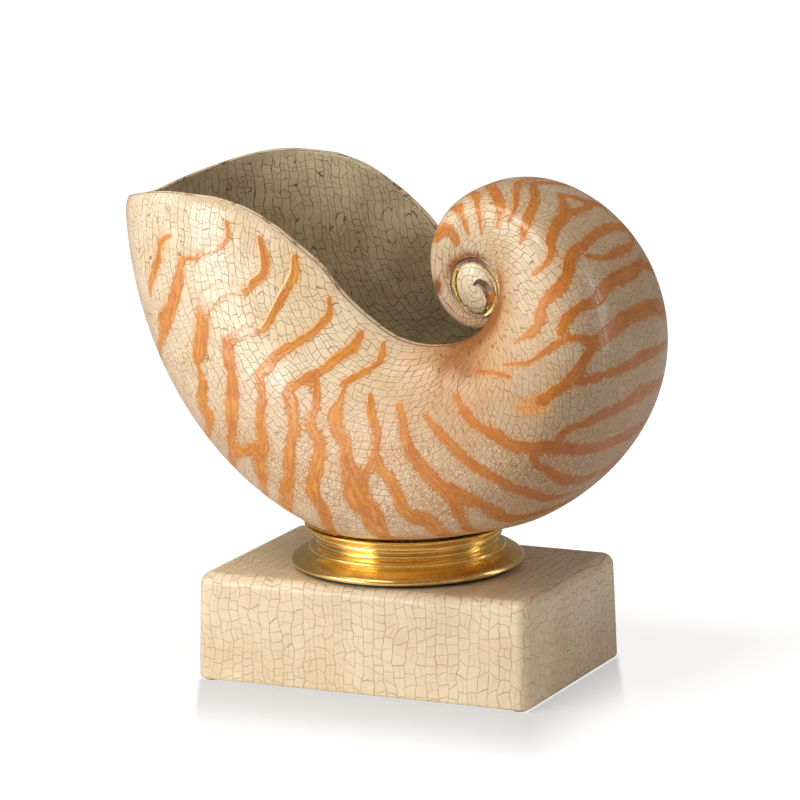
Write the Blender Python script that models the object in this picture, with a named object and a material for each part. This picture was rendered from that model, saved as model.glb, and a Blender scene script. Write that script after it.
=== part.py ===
"""Nautilus shell ornament: a glazed ceramic shell on a turned brass collar and a hollow plinth, drawn
tight by one threaded rod. Metres, +Z up, the lip towards -X. The origin is the middle of the whole
object's footprint, on the surface that it stands on.

The shell coils about a pole along Y. A turn of 0 degrees points to -X, 90 up, 180 to +X and 270 down,
and the next 90 degrees lead to the lip. Across the whorl, s runs from 0 at its outer line over FLANK,
its widest place, to 1 in the eye of the coil."""

import math

import bmesh
import bpy
import numpy as np
from mathutils import Matrix, Vector
from mathutils.bvhtree import BVHTree

GAP = 0.0003

# Shell: radius from the pole, and half width, at chosen turns in degrees
WHORL_RADIUS = (
    (-203, 0.0117),
    (-90, 0.0178),
    (0, 0.0190),
    (45, 0.0259),
    (90, 0.0346),
    (180, 0.0514),
    (270, 0.0895),
    (330, 0.1170),
    (380, 0.1442),
)
WHORL_HALF_WIDTH = (
    (-203, 0.0160),
    (-60, 0.0191),
    (60, 0.0208),
    (180, 0.0380),
    (280, 0.0593),
    (380, 0.0512),
)
SHOULDER = 0.596
SECTION_POWER = 2.61
FLANK = 0.7

# Shell: the eye of the coil, at a turn of 180 degrees and its growth in one whole turn
EYE_RADIUS = 0.0106
EYE_RADIUS_GROWTH = 0.0030
EYE_LEVEL = 0.0208
EYE_LEVEL_GROWTH = 0.0058
# Shell: how far the middle of the inner turns lies from the pole, and the turns over which that fades
EYE_OFFSET = (-0.0006, 0, 0.0029)
KEEL_FADE = (60, 150)
EYE_FADE = (222, 260)
FADE_BEND = 3
BOSS_RADIUS = 0.0120
BOSS_LEVEL = 0.0135
BOSS_DOME = 0.0075

# Shell: the lip's side edge as s at chosen turns, its front edge as the turn at chosen s, and the walls
LIP_SIDE = (
    (222, 1),
    (245, 0.953),
    (283, 0.920),
    (310, 0.898),
    (330, 0.877),
    (352, 0.850),
    (368, 0.820),
    (377, 0.790),
    (381, 0.760),
)
LIP_FRONT = ((0, 370.6), (0.2, 372), (0.4, 374.8), (0.6, 378.8), (0.7, 381.4), (0.735, 382.2), (0.76, 381))
COIL_START = -203
CAVITY_START = 37
KEEL_TURN = 280
FRONT_BEND = 3
WALL = 0.0045
LIP_WALL = 0.0032
EDGE_ROUND = 0.4

# Shell: the belly pressed flat over the collar, the flared base there and the spigot under it
SEAT_TURN = 292
BELLY_DIP = 0.0068
BELLY_BLEND = 0.0020
BELLY_RISE = 0.28
BASE_SPREAD = 0.0105
BASE_FLARE = 0.6
BASE_RINGS = 5
BASE_LAND = 0.0004
SPIGOT_RADIUS = 0.0296
PAD_RADIUS = 0.0110
PAD_RISE = 0.0012

# Collar: radii, and heights above its foot
FOOT_RADIUS = 0.0419
FOOT_ROUND = 0.0015
STEP_RADIUS = 0.0374
STEP_HEIGHT = 0.0045
RIDGE_RADIUS = 0.0350
RIDGE_HEIGHT = 0.0061
NECK_RADIUS = 0.0321
NECK_HEIGHT = 0.0082
BEAD_RADIUS = 0.0332
BEAD_HEIGHT = 0.0101
BEAD_ROUND = 0.0005
RIM_RADIUS = 0.0367
RIM_HEIGHT = 0.0146
RIM_LAND = 0.0010
COLLAR_WALL = 0.0022
COVE_DEPTH = 0.0006
LEDGE_WIDTH = 0.0036
LEDGE_HEIGHT = 0.0096
LEDGE_THICK = 0.0020
SPIGOT_CLEARANCE = 0.0004
SEAM = 0.0006

# Gaskets
SHELL_GASKET_THICK = 0.0008
FOOT_GASKET_THICK = 0.0006
FOOT_GASKET_WIDTH = 0.0050
FOOT_GASKET_INSET = 0.0008
INNER_GASKET_THICK = 0.0012

# Plinth and its felt pads
PLINTH_LENGTH = 0.1286
PLINTH_DEPTH = 0.0850
PLINTH_HEIGHT = 0.0386
PLINTH_DRAFT = 0.0009
PLINTH_ROUND = 0.0040
PLINTH_FOOT_ROUND = 0.0012
PLINTH_WALL = 0.0065
PLINTH_TOP = 0.0070
ROD_BOSS_RADIUS = 0.0130
ROD_BOSS_DROP = 0.0030
FELT_RADIUS = 0.0028
FELT_THICK = 0.0012
FELT_PROUD = 0.0005
FELT_INSET = 0.0020

# Rod and fasteners, metric 6
ROD_RADIUS = 0.0030
ROD_HOLE_CLEARANCE = 0.0006
ROD_CHAMFER = 0.0006
ROD_TAIL = 0.0030
NUT_ACROSS_FLATS = 0.0100
NUT_HEIGHT = 0.0050
CAP_HEX_HEIGHT = 0.0055
CAP_DOME_RADIUS = 0.0046
INNER_WASHER_RADIUS = 0.0090
INNER_WASHER_THICK = 0.0012
BASE_WASHER_RADIUS = 0.0110
BASE_WASHER_THICK = 0.0016
SPRING_WASHER_RADIUS = 0.0059
SPRING_WASHER_THICK = 0.0016
SPRING_WASHER_SLIT = 14

# Facets
COIL_ROWS = 10
LIP_ROWS = 34
ROW_CROWDING = 2.6
HALF_COLUMNS = 18
ROUND_STEPS = 48
SMALL_STEPS = 24
SMOOTH_ANGLE = 35


def clear_scene():
    for obj in list(bpy.data.objects):
        bpy.data.objects.remove(obj, do_unlink=True)


def make_material(name, colour, roughness, metallic=0.0):
    material = bpy.data.materials.new(name)
    material.use_nodes = True
    shader = material.node_tree.nodes["Principled BSDF"]
    shader.inputs["Base Color"].default_value = (*colour, 1.0)
    shader.inputs["Roughness"].default_value = roughness
    shader.inputs["Metallic"].default_value = metallic
    return material


def add_object(name, bm, material):
    """The bmesh as an object of this name, faces out and round pieces shaded smooth."""
    bmesh.ops.recalc_face_normals(bm, faces=bm.faces)
    mesh = bpy.data.meshes.new(name)
    bm.to_mesh(mesh)
    bm.free()
    mesh.shade_smooth()
    mesh.set_sharp_from_angle(angle=math.radians(SMOOTH_ANGLE))
    if material:
        mesh.materials.append(material)
    obj = bpy.data.objects.new(name, mesh)
    bpy.context.scene.collection.objects.link(obj)
    return obj


def add_cutter(name, bm):
    """A helper that a Boolean reads, left out of the model."""
    obj = add_object(name, bm, None)
    obj.hide_render = True
    obj.display_type = "WIRE"
    return obj


def combine(obj, other, operation):
    modifier = obj.modifiers.new(other.name, "BOOLEAN")
    modifier.operation = operation
    modifier.solver = "EXACT"
    modifier.object = other


def turned(profile, steps, centre=(0.0, 0.0, 0.0), angle=math.tau):
    """A profile of (radius, height) points turned about the Z axis through centre."""
    bm = bmesh.new()
    points = [bm.verts.new((radius, 0.0, height)) for radius, height in profile]
    edges = [bm.edges.new(pair) for pair in zip(points, points[1:])]
    closed = min(radius for radius, _ in profile) > 0
    if closed:
        edges.append(bm.edges.new((points[-1], points[0])))
    whole = math.isclose(angle, math.tau)
    if not whole:
        bm.faces.new(points)
    made = bmesh.ops.spin(
        bm,
        geom=points + edges,
        cent=(0, 0, 0),
        axis=(0, 0, 1),
        dvec=(0, 0, 0),
        angle=angle,
        steps=steps,
        use_merge=whole,
    )
    if not whole:
        bm.faces.new([v for v in made["geom_last"] if isinstance(v, bmesh.types.BMVert)])
    if not closed:
        bmesh.ops.remove_doubles(bm, verts=bm.verts, dist=1e-7)
    bmesh.ops.translate(bm, verts=bm.verts, vec=centre)
    return bm


def ring_profile(inner, outer, low, high):
    return [(inner, high), (outer, high), (outer, low), (inner, low)]


def cylinder_profile(radius, low, high, chamfer=0.0):
    if not chamfer:
        return [(0, high), (radius, high), (radius, low), (0, low)]
    return [
        (0, high),
        (radius - chamfer, high),
        (radius, high - chamfer),
        (radius, low + chamfer),
        (radius - chamfer, low),
        (0, low),
    ]


def arc(centre, radius, start, end, steps):
    """Points of a (radius, height) profile round a centre, angles in degrees."""
    angles = np.radians(np.linspace(start, end, steps + 1))
    return [(centre[0] + radius * math.cos(a), centre[1] + radius * math.sin(a)) for a in angles]


def hollow_curve(start, end, depth, steps):
    """Points after start and up to end along a shallow curve that bows towards the axis by depth."""
    points = []
    for f in np.linspace(0, 1, steps + 1)[1:]:
        radius = start[0] + (end[0] - start[0]) * f - depth * math.sin(math.pi * f)
        points.append((radius, start[1] + (end[1] - start[1]) * f))
    return points


def hexagon(across_flats, low, high, centre):
    bm = bmesh.new()
    corner = across_flats / 2 / math.cos(math.radians(30))
    bmesh.ops.create_cone(bm, cap_ends=True, segments=6, radius1=corner, radius2=corner, depth=high - low)
    bmesh.ops.translate(bm, verts=bm.verts, vec=(centre[0], centre[1], (low + high) / 2))
    return bm


def smooth_through(stations):
    """The natural cubic spline through (position, value) stations, as a function."""
    at = np.array([position for position, _ in stations], float)
    value = np.array([value for _, value in stations], float)
    step = np.diff(at)
    slope = np.diff(value) / step
    system = np.eye(len(at))
    target = np.zeros(len(at))
    for i in range(1, len(at) - 1):
        system[i, i - 1 : i + 2] = step[i - 1], 2 * (step[i - 1] + step[i]), step[i]
        target[i] = 6 * (slope[i] - slope[i - 1])
    bend = np.linalg.solve(system, target)

    def curve(position):
        i = int(np.clip(np.searchsorted(at, position) - 1, 0, len(step) - 1))
        before = position - at[i]
        after = at[i + 1] - position
        cubic = (bend[i] * after**3 + bend[i + 1] * before**3) / (6 * step[i])
        linear_low = (value[i] / step[i] - bend[i] * step[i] / 6) * after
        linear_high = (value[i + 1] / step[i] - bend[i + 1] * step[i] / 6) * before
        return float(cubic + linear_low + linear_high)

    return curve


log_radius = smooth_through([(turn, math.log(radius)) for turn, radius in WHORL_RADIUS])
log_half_width = smooth_through([(turn, math.log(width)) for turn, width in WHORL_HALF_WIDTH])
lip_side = smooth_through(LIP_SIDE)
lip_front = smooth_through(LIP_FRONT)
LIP_START = LIP_SIDE[0][0]
LIP_END = LIP_SIDE[-1][0]
LIP_CORNER = LIP_FRONT[-1][0]


def lip_turn(s):
    """The turn at which the wall ends in front, as far across the flank as the lip's corner."""
    return lip_front(min(s, LIP_CORNER))


def whorl_radius(turn):
    return math.exp(log_radius(turn))


def section(turn, s, inset):
    """(distance from the pole, distance from the middle plane) of the whorl's surface, or of its
    inner surface, inset from it by the wall."""
    grown = (turn - 180) / 360
    eye_radius = EYE_RADIUS + EYE_RADIUS_GROWTH * grown
    eye_level = EYE_LEVEL + EYE_LEVEL_GROWTH * grown
    radius = max(whorl_radius(turn), eye_radius)
    half_width = max(math.exp(log_half_width(turn)), eye_level)
    shoulder = eye_radius + SHOULDER * (radius - eye_radius)
    if s < FLANK:
        angle = s / FLANK * math.pi / 2
        out = (radius - inset - shoulder) * math.cos(angle) ** (2 / SECTION_POWER)
        return shoulder + out, (half_width - inset) * math.sin(angle) ** (2 / SECTION_POWER)
    angle = (s - FLANK) / (1 - FLANK) * math.pi / 2
    eye_inset = 0.35 * inset
    level_inset = 0.8 * inset
    rho = shoulder - (shoulder - eye_radius - eye_inset) * math.sin(angle)
    level = eye_level - level_inset
    return rho, level + (half_width - inset - level) * math.cos(angle)


def around_pole(turn, rho, y):
    """A point from its turn, its distance from the pole and its y, with the pole at the origin."""
    angle = math.radians(turn)
    return Vector((-rho * math.cos(angle), y, rho * math.sin(angle)))


def eye_offset(turn, s):
    """The offset of the inner turns, which fades out earlier at the keel than at the eye."""
    start, end = (keel + (eye - keel) * s**FADE_BEND for keel, eye in zip(KEEL_FADE, EYE_FADE))
    share = min(1, max(0, (end - turn) / (end - start)))
    return Vector(EYE_OFFSET) * share**2 * (3 - 2 * share)


def shell_point(turn, s, side, inset=0.0):
    rho, y = section(turn, s, inset)
    return around_pole(turn, rho, side * y) + eye_offset(turn, s)


def pressed(point, inset=0.0):
    """The point in its real place, with the belly pressed flat above the collar, rising round it."""
    placed = pole + point
    beyond_rim = max(0, math.hypot(placed.x - seat_x, placed.y) - RIM_RADIUS)
    lowest = belly_flat + inset + BELLY_RISE * beyond_rim
    above = placed.z - lowest
    if above < -BELLY_BLEND:
        placed.z = lowest
    elif above < BELLY_BLEND:
        placed.z = lowest + (above + BELLY_BLEND) ** 2 / (4 * BELLY_BLEND)
    return placed


def column_places():
    """Each column's share of the way across one flank, spread evenly by length at the keel."""
    samples = np.linspace(0, 1, 401)
    keel = np.array([shell_point(KEEL_TURN, s, 1) for s in samples * last_s(KEEL_TURN)])
    length = np.concatenate([[0], np.cumsum(np.linalg.norm(np.diff(keel, axis=0), axis=1))])
    places = np.interp(np.linspace(0, length[-1], HALF_COLUMNS + 1), length, samples)
    widest = FLANK / last_s(KEEL_TURN)
    places[np.abs(places - widest).argmin()] = widest
    return [float(place) for place in places]


def last_s(turn):
    """How far the wall reaches across the flank: into the eye, or past LIP_START only to the lip."""
    return 1.0 if turn <= LIP_START else min(1.0, lip_side(min(turn, LIP_END)))


PLACES = column_places()
COLUMNS = [(place, -1) for place in reversed(PLACES)] + [(place, 1) for place in PLACES[1:]]


def grid_row(row):
    """(turn, s, side) of each column in a row: level rows, that bend near the end to the lip's front."""
    if row <= COIL_ROWS:
        turn = COIL_START + (CAVITY_START - COIL_START) * row / COIL_ROWS
        return [(turn, place, side) for place, side in COLUMNS]
    share = (row - COIL_ROWS) / LIP_ROWS
    along = math.log(1 + (ROW_CROWDING - 1) * share) / math.log(ROW_CROWDING)
    turn = CAVITY_START + (LIP_END - CAVITY_START) * along
    spots = [(place * last_s(turn), side) for place, side in COLUMNS]
    return [(turn + (lip_turn(s) - LIP_END) * along**FRONT_BEND, s, side) for s, side in spots]


def wall_at(row):
    share = (row - COIL_ROWS) / LIP_ROWS
    return WALL + (LIP_WALL - WALL) * share**2


def outer_row(row):
    return [pressed(shell_point(turn, s, side)) for turn, s, side in grid_row(row)]


def inner_row(row):
    wall = wall_at(row)
    return [pressed(shell_point(turn, s, side, wall), wall) for turn, s, side in grid_row(row)]


def rim_of(rows):
    """The free edge of a skin of rows, from one eye round the lip to the other."""
    start = [row[0] for row in rows[:-1]]
    end = [row[-1] for row in rows[:-1]]
    return start + rows[-1] + end[::-1]


def rounded_edge(outer, inner):
    """The crest of the rounded edge: midway through the wall and nearly half the wall ahead of it."""
    crest = []
    for i, (a, b) in enumerate(zip(outer, inner)):
        along = outer[min(i + 1, len(outer) - 1)] - outer[max(i - 1, 0)]
        ahead = along.cross(a - b).normalized()
        crest.append((a + b) / 2 + ahead * (a - b).length * EDGE_ROUND)
    return crest


# Heights, from the floor up
plinth_low = FELT_PROUD
plinth_high = plinth_low + PLINTH_HEIGHT
collar_low = plinth_high + GAP + FOOT_GASKET_THICK + GAP
ledge_high = collar_low + LEDGE_HEIGHT
spigot_low = ledge_high + GAP + SHELL_GASKET_THICK + GAP
rim_high = collar_low + RIM_HEIGHT
base_low = rim_high + SEAM
belly_flat = base_low + BASE_LAND
pad_high = belly_flat + WALL + PAD_RISE

# Place of the pole: the shell is centred lengthwise, and its belly would dip below the flat
all_turns = np.arange(COIL_START, lip_front(0))
outline = np.array([around_pole(turn, whorl_radius(turn), 0) for turn in all_turns])
lip_line = np.array([shell_point(lip_front(s), s, 1) for s in np.linspace(0, last_s(LIP_END), 60)])
left_end = min(outline[:, 0].min(), lip_line[:, 0].min())
pole_x = -(left_end + outline[:, 0].max()) / 2
pole_z = belly_flat - BELLY_DIP - outline[:, 2].min()
pole = Vector((pole_x, 0.0, pole_z))
eye_centre = pole + Vector(EYE_OFFSET)
seat_x = (pole + around_pole(SEAT_TURN, whorl_radius(SEAT_TURN), 0)).x
seat_centre = (seat_x, 0.0, 0.0)


def skin(bm, rows, facing):
    """Faces between each two neighbouring rows of vertices."""
    for near, far in zip(rows, rows[1:]):
        for a, b, c, d in zip(near, near[1:], far[1:], far):
            bm.faces.new((a, b, c, d)[::facing])


def shell_sheet():
    """The coiled wall as one closed skin: solid round the first turn, hollow from CAVITY_START to the
    lip."""
    bm = bmesh.new()
    rows = range(COIL_ROWS + LIP_ROWS + 1)
    outer = [[bm.verts.new(point) for point in outer_row(row)] for row in rows]
    inner = [[bm.verts.new(point) for point in inner_row(row)] for row in rows[COIL_ROWS:]]
    outer_rim = rim_of(outer[COIL_ROWS:])
    inner_rim = rim_of(inner)
    crest_points = rounded_edge([vert.co for vert in outer_rim], [vert.co for vert in inner_rim])
    crest = [bm.verts.new(point) for point in crest_points]
    skin(bm, outer, 1)
    skin(bm, inner, -1)
    skin(bm, [outer_rim, crest, inner_rim], 1)
    # The solid turn closes on its middle, at one point on each side
    middles = [bm.verts.new(eye_centre + Vector((0, side * EYE_LEVEL / 2, 0))) for side in (-1, 1)]
    for edge, middle in zip((0, -1), middles):
        for near, far in zip(outer[:COIL_ROWS], outer[1 : COIL_ROWS + 1]):
            bm.faces.new((near[edge], far[edge], middle))
        bm.faces.new((outer[COIL_ROWS][edge], crest[edge], middle))
        bm.faces.new((crest[edge], inner[0][edge], middle))
    bm.faces.new([middles[0], *outer[0], middles[1]])
    bm.faces.new([middles[0], *inner[0], middles[1]])
    bmesh.ops.triangulate(bm, faces=bm.faces)
    return bm


def boss_column():
    """The core of the coil, domed at both ends inside the eyes."""
    top = arc((0, 0), 1, 90, 0, 6)
    dome = [(BOSS_RADIUS * x, BOSS_LEVEL + BOSS_DOME * y) for x, y in top]
    profile = dome + [(x, -y) for x, y in reversed(dome)]
    profile[0] = (0, profile[0][1])
    profile[-1] = (0, profile[-1][1])
    bm = turned(profile, SMALL_STEPS)
    bmesh.ops.rotate(bm, verts=bm.verts, cent=(0, 0, 0), matrix=Matrix.Rotation(math.pi / 2, 3, "X"))
    bmesh.ops.translate(bm, verts=bm.verts, vec=eye_centre)
    return bm


def base_block(sheet):
    """The base under the belly: it flares up from the collar's rim into the wall, with its top midway
    through the wall at every place, and its spigot fits inside the rim."""
    tree = BVHTree.FromBMesh(sheet)
    radii = np.linspace(0, RIM_RADIUS + BASE_SPREAD, BASE_RINGS + 1)
    profile = [(radius, base_low + WALL) for radius in radii]
    profile += [(RIM_RADIUS + BASE_SPREAD * f, base_low + WALL * f**BASE_FLARE) for f in (0.67, 0.33)]
    profile += [(RIM_RADIUS, base_low), (SPIGOT_RADIUS, base_low)]
    profile += [(SPIGOT_RADIUS, spigot_low), (0, spigot_low)]
    bm = turned(profile, ROUND_STEPS, seat_centre)
    for vert in bm.verts:
        share = (vert.co.z - base_low) / WALL
        if share > GAP:
            floor_point = Vector((vert.co.x, vert.co.y, 0))
            belly = tree.ray_cast(floor_point, Vector((0, 0, 1)))[0]
            vert.co.z = base_low + (belly.z + WALL / 2 - base_low) * share
    bmesh.ops.triangulate(bm, faces=bm.faces)
    return bm


def make_shell(material):
    sheet = shell_sheet()
    base = base_block(sheet)
    shell = add_object("shell_body", sheet, material)
    combine(shell, add_cutter("boss_column", boss_column()), "UNION")
    combine(shell, add_cutter("base", base), "UNION")
    pad = turned(cylinder_profile(PAD_RADIUS, belly_flat + WALL / 2, pad_high), SMALL_STEPS, seat_centre)
    combine(shell, add_cutter("washer_pad", pad), "UNION")
    hole_profile = cylinder_profile(ROD_RADIUS + ROD_HOLE_CLEARANCE, spigot_low - WALL, pad_high + WALL)
    hole = turned(hole_profile, SMALL_STEPS, seat_centre)
    combine(shell, add_cutter("belly_hole", hole), "DIFFERENCE")


def collar_profile():
    """The collar's section, from the rim down its outer side, under the foot and up inside."""
    rim_in = SPIGOT_RADIUS + SPIGOT_CLEARANCE
    land = (RIM_RADIUS, rim_high - RIM_LAND)
    bead = (BEAD_RADIUS, collar_low + BEAD_HEIGHT)
    neck = (NECK_RADIUS, collar_low + NECK_HEIGHT)
    ridge = (RIDGE_RADIUS, collar_low + RIDGE_HEIGHT)
    step = (STEP_RADIUS, collar_low + STEP_HEIGHT)
    profile = [(rim_in, rim_high), (RIM_RADIUS - RIM_LAND / 2, rim_high)]
    profile += [(RIM_RADIUS, rim_high - RIM_LAND / 2), land]
    profile += hollow_curve(land, (bead[0], bead[1] + BEAD_ROUND), COVE_DEPTH, 4)
    profile += [(bead[0] + BEAD_ROUND, bead[1])]
    profile += [(bead[0], bead[1] - BEAD_ROUND)] + [neck]
    profile += hollow_curve(neck, (ridge[0] - BEAD_ROUND, ridge[1] + BEAD_ROUND / 2), BEAD_ROUND, 2)
    profile += [ridge, (ridge[0], ridge[1] - BEAD_ROUND)]
    profile += hollow_curve((ridge[0], ridge[1] - BEAD_ROUND), step, BEAD_ROUND, 2)
    profile += arc((FOOT_RADIUS - FOOT_ROUND, collar_low + FOOT_ROUND), FOOT_ROUND, 70, -90, 6)
    profile += [(RIDGE_RADIUS, collar_low)]
    profile += [(NECK_RADIUS - COLLAR_WALL, ledge_high - LEDGE_THICK)]
    profile += [(rim_in - LEDGE_WIDTH, ledge_high - LEDGE_THICK), (rim_in - LEDGE_WIDTH, ledge_high)]
    return profile + [(rim_in, ledge_high)]


def make_collar(material):
    add_object("brass_collar", turned(collar_profile(), ROUND_STEPS, seat_centre), material)


def make_gaskets(material):
    low = ledge_high + GAP
    inside = SPIGOT_RADIUS + SPIGOT_CLEARANCE - LEDGE_WIDTH + GAP
    shell_ring = ring_profile(inside, SPIGOT_RADIUS, low, low + SHELL_GASKET_THICK)
    add_object("shell_gasket", turned(shell_ring, ROUND_STEPS, seat_centre), material)
    low = plinth_high + GAP
    outside = FOOT_RADIUS - FOOT_ROUND - FOOT_GASKET_INSET
    foot_ring = ring_profile(outside - FOOT_GASKET_WIDTH, outside, low, low + FOOT_GASKET_THICK)
    add_object("foot_gasket", turned(foot_ring, ROUND_STEPS, seat_centre), material)
    low = pad_high + GAP
    inner_ring = ring_profile(ROD_RADIUS + GAP, INNER_WASHER_RADIUS, low, low + INNER_GASKET_THICK)
    add_object("inner_gasket", turned(inner_ring, SMALL_STEPS, seat_centre), material)


def tapered_block(length, depth, low, high, draft):
    """A block whose four sides lean in by draft towards the top."""
    bm = bmesh.new()
    bmesh.ops.create_cube(bm, size=1)
    for vert in bm.verts:
        lean = draft if vert.co.z > 0 else 0
        vert.co.x *= length - 2 * lean
        vert.co.y *= depth - 2 * lean
        vert.co.z = high if vert.co.z > 0 else low
    return bm


def round_edges(bm, chosen, radius, steps):
    edges = [edge for edge in bm.edges if chosen(edge)]
    bmesh.ops.bevel(bm, geom=edges, offset=radius, segments=steps, profile=0.5, affect="EDGES", material=-1)


def upright(edge):
    return abs(edge.verts[0].co.z - edge.verts[1].co.z) > PLINTH_HEIGHT / 4


def at_height(height):
    return lambda edge: all(abs(vert.co.z - height) < GAP / 10 for vert in edge.verts)


def make_plinth(material):
    bm = tapered_block(PLINTH_LENGTH, PLINTH_DEPTH, plinth_low, plinth_high, PLINTH_DRAFT)
    round_edges(bm, lambda edge: upright(edge) or at_height(plinth_high)(edge), PLINTH_ROUND, 4)
    round_edges(bm, at_height(plinth_low), PLINTH_FOOT_ROUND, 2)
    bmesh.ops.translate(bm, verts=bm.verts, vec=seat_centre)
    plinth = add_object("plinth", bm, material)
    cavity_high = plinth_high - PLINTH_TOP
    cavity = tapered_block(
        PLINTH_LENGTH - 2 * PLINTH_WALL,
        PLINTH_DEPTH - 2 * PLINTH_WALL,
        plinth_low - PLINTH_WALL,
        cavity_high,
        PLINTH_DRAFT,
    )
    round_edges(cavity, lambda edge: upright(edge) or at_height(cavity_high)(edge), PLINTH_ROUND, 3)
    bmesh.ops.translate(cavity, verts=cavity.verts, vec=seat_centre)
    combine(plinth, add_cutter("plinth_cavity", cavity), "DIFFERENCE")
    boss_low = cavity_high - ROD_BOSS_DROP
    boss_profile = cylinder_profile(ROD_BOSS_RADIUS, boss_low, cavity_high + PLINTH_TOP / 2)
    combine(plinth, add_cutter("rod_boss", turned(boss_profile, SMALL_STEPS, seat_centre)), "UNION")
    hole_radius = ROD_RADIUS + ROD_HOLE_CLEARANCE
    hole_profile = cylinder_profile(hole_radius, boss_low - PLINTH_TOP, plinth_high + PLINTH_TOP)
    hole = turned(hole_profile, SMALL_STEPS, seat_centre)
    combine(plinth, add_cutter("plinth_hole", hole), "DIFFERENCE")
    pocket_profile = cylinder_profile(FELT_RADIUS + GAP, plinth_low - FELT_THICK, FELT_THICK + GAP)
    for number, corner in enumerate(felt_places(), 1):
        pocket = turned(pocket_profile, SMALL_STEPS, corner)
        combine(plinth, add_cutter(f"felt_pocket_{number}", pocket), "DIFFERENCE")
    return boss_low


def felt_places():
    reach_x = PLINTH_LENGTH / 2 - FELT_INSET - FELT_RADIUS
    reach_y = PLINTH_DEPTH / 2 - FELT_INSET - FELT_RADIUS
    return [(seat_x + x, y, 0) for x in (-reach_x, reach_x) for y in (-reach_y, reach_y)]


def make_felt_pads(material):
    for number, corner in enumerate(felt_places(), 1):
        pad = turned(cylinder_profile(FELT_RADIUS, 0, FELT_THICK), SMALL_STEPS, corner)
        add_object(f"felt_pad_{number}", pad, material)


def hex_nut(name, low, high, material):
    """A hexagonal nut with its bore right through."""
    nut = add_object(name, hexagon(NUT_ACROSS_FLATS, low, high, seat_centre), material)
    bore_profile = cylinder_profile(ROD_RADIUS + GAP, low - NUT_HEIGHT, high + NUT_HEIGHT)
    bore = turned(bore_profile, SMALL_STEPS, seat_centre)
    combine(nut, add_cutter(name + "_bore", bore), "DIFFERENCE")


def cap_nut(name, low, rod_high, material):
    """A hexagonal nut closed by a dome over the rod's end."""
    nut = add_object(name, hexagon(NUT_ACROSS_FLATS, low, low + CAP_HEX_HEIGHT, seat_centre), material)
    dome_low = low + CAP_HEX_HEIGHT - GAP
    profile = arc((0, dome_low), CAP_DOME_RADIUS, 90, 0, 5) + [(0, dome_low)]
    profile[0] = (0, dome_low + CAP_DOME_RADIUS)
    combine(nut, add_cutter(name + "_dome", turned(profile, SMALL_STEPS, seat_centre)), "UNION")
    bore_profile = cylinder_profile(ROD_RADIUS + GAP, low - NUT_HEIGHT, rod_high + GAP)
    bore = turned(bore_profile, SMALL_STEPS, seat_centre)
    combine(nut, add_cutter(name + "_bore", bore), "DIFFERENCE")


def make_fasteners(boss_low, steel, brass):
    washer_low = pad_high + GAP + INNER_GASKET_THICK + GAP
    washer_high = washer_low + INNER_WASHER_THICK
    washer = ring_profile(ROD_RADIUS + GAP, INNER_WASHER_RADIUS, washer_low, washer_high)
    add_object("inner_washer", turned(washer, SMALL_STEPS, seat_centre), brass)
    cap_low = washer_high + GAP
    rod_high = cap_low + CAP_HEX_HEIGHT
    cap_nut("cap_nut", cap_low, rod_high, brass)

    base_high = boss_low - GAP
    base_low = base_high - BASE_WASHER_THICK
    washer = ring_profile(ROD_RADIUS + GAP, BASE_WASHER_RADIUS, base_low, base_high)
    add_object("base_washer", turned(washer, SMALL_STEPS, seat_centre), steel)
    spring_high = base_low - GAP
    spring_low = spring_high - SPRING_WASHER_THICK
    profile = ring_profile(ROD_RADIUS + GAP, SPRING_WASHER_RADIUS, spring_low, spring_high)
    part_turn = math.radians(360 - SPRING_WASHER_SLIT)
    add_object("spring_washer", turned(profile, SMALL_STEPS, seat_centre, part_turn), steel)
    nut_high = spring_low - GAP
    hex_nut("base_nut", nut_high - NUT_HEIGHT, nut_high, steel)
    rod_low = nut_high - NUT_HEIGHT - ROD_TAIL
    rod = turned(cylinder_profile(ROD_RADIUS, rod_low, rod_high, ROD_CHAMFER), SMALL_STEPS, seat_centre)
    add_object("tie_rod", rod, steel)


def main():
    clear_scene()
    crackle_glaze = make_material("crackle_glaze", (0.86, 0.62, 0.38), 0.22)
    plinth_glaze = make_material("plinth_glaze", (0.80, 0.66, 0.48), 0.25)
    gilt_brass = make_material("gilt_brass", (0.83, 0.58, 0.20), 0.25, 1.0)
    zinc_steel = make_material("zinc_steel", (0.60, 0.61, 0.62), 0.35, 1.0)
    black_rubber = make_material("black_rubber", (0.03, 0.03, 0.03), 0.8)
    brown_felt = make_material("brown_felt", (0.16, 0.11, 0.07), 0.95)
    make_shell(crackle_glaze)
    make_collar(gilt_brass)
    make_gaskets(black_rubber)
    boss_low = make_plinth(plinth_glaze)
    make_felt_pads(brown_felt)
    make_fasteners(boss_low, zinc_steel, gilt_brass)


main()
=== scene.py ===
import math

import bmesh
import bpy
import numpy as np
from mathutils import Matrix, Vector, kdtree
from mathutils.bvhtree import BVHTree


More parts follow.
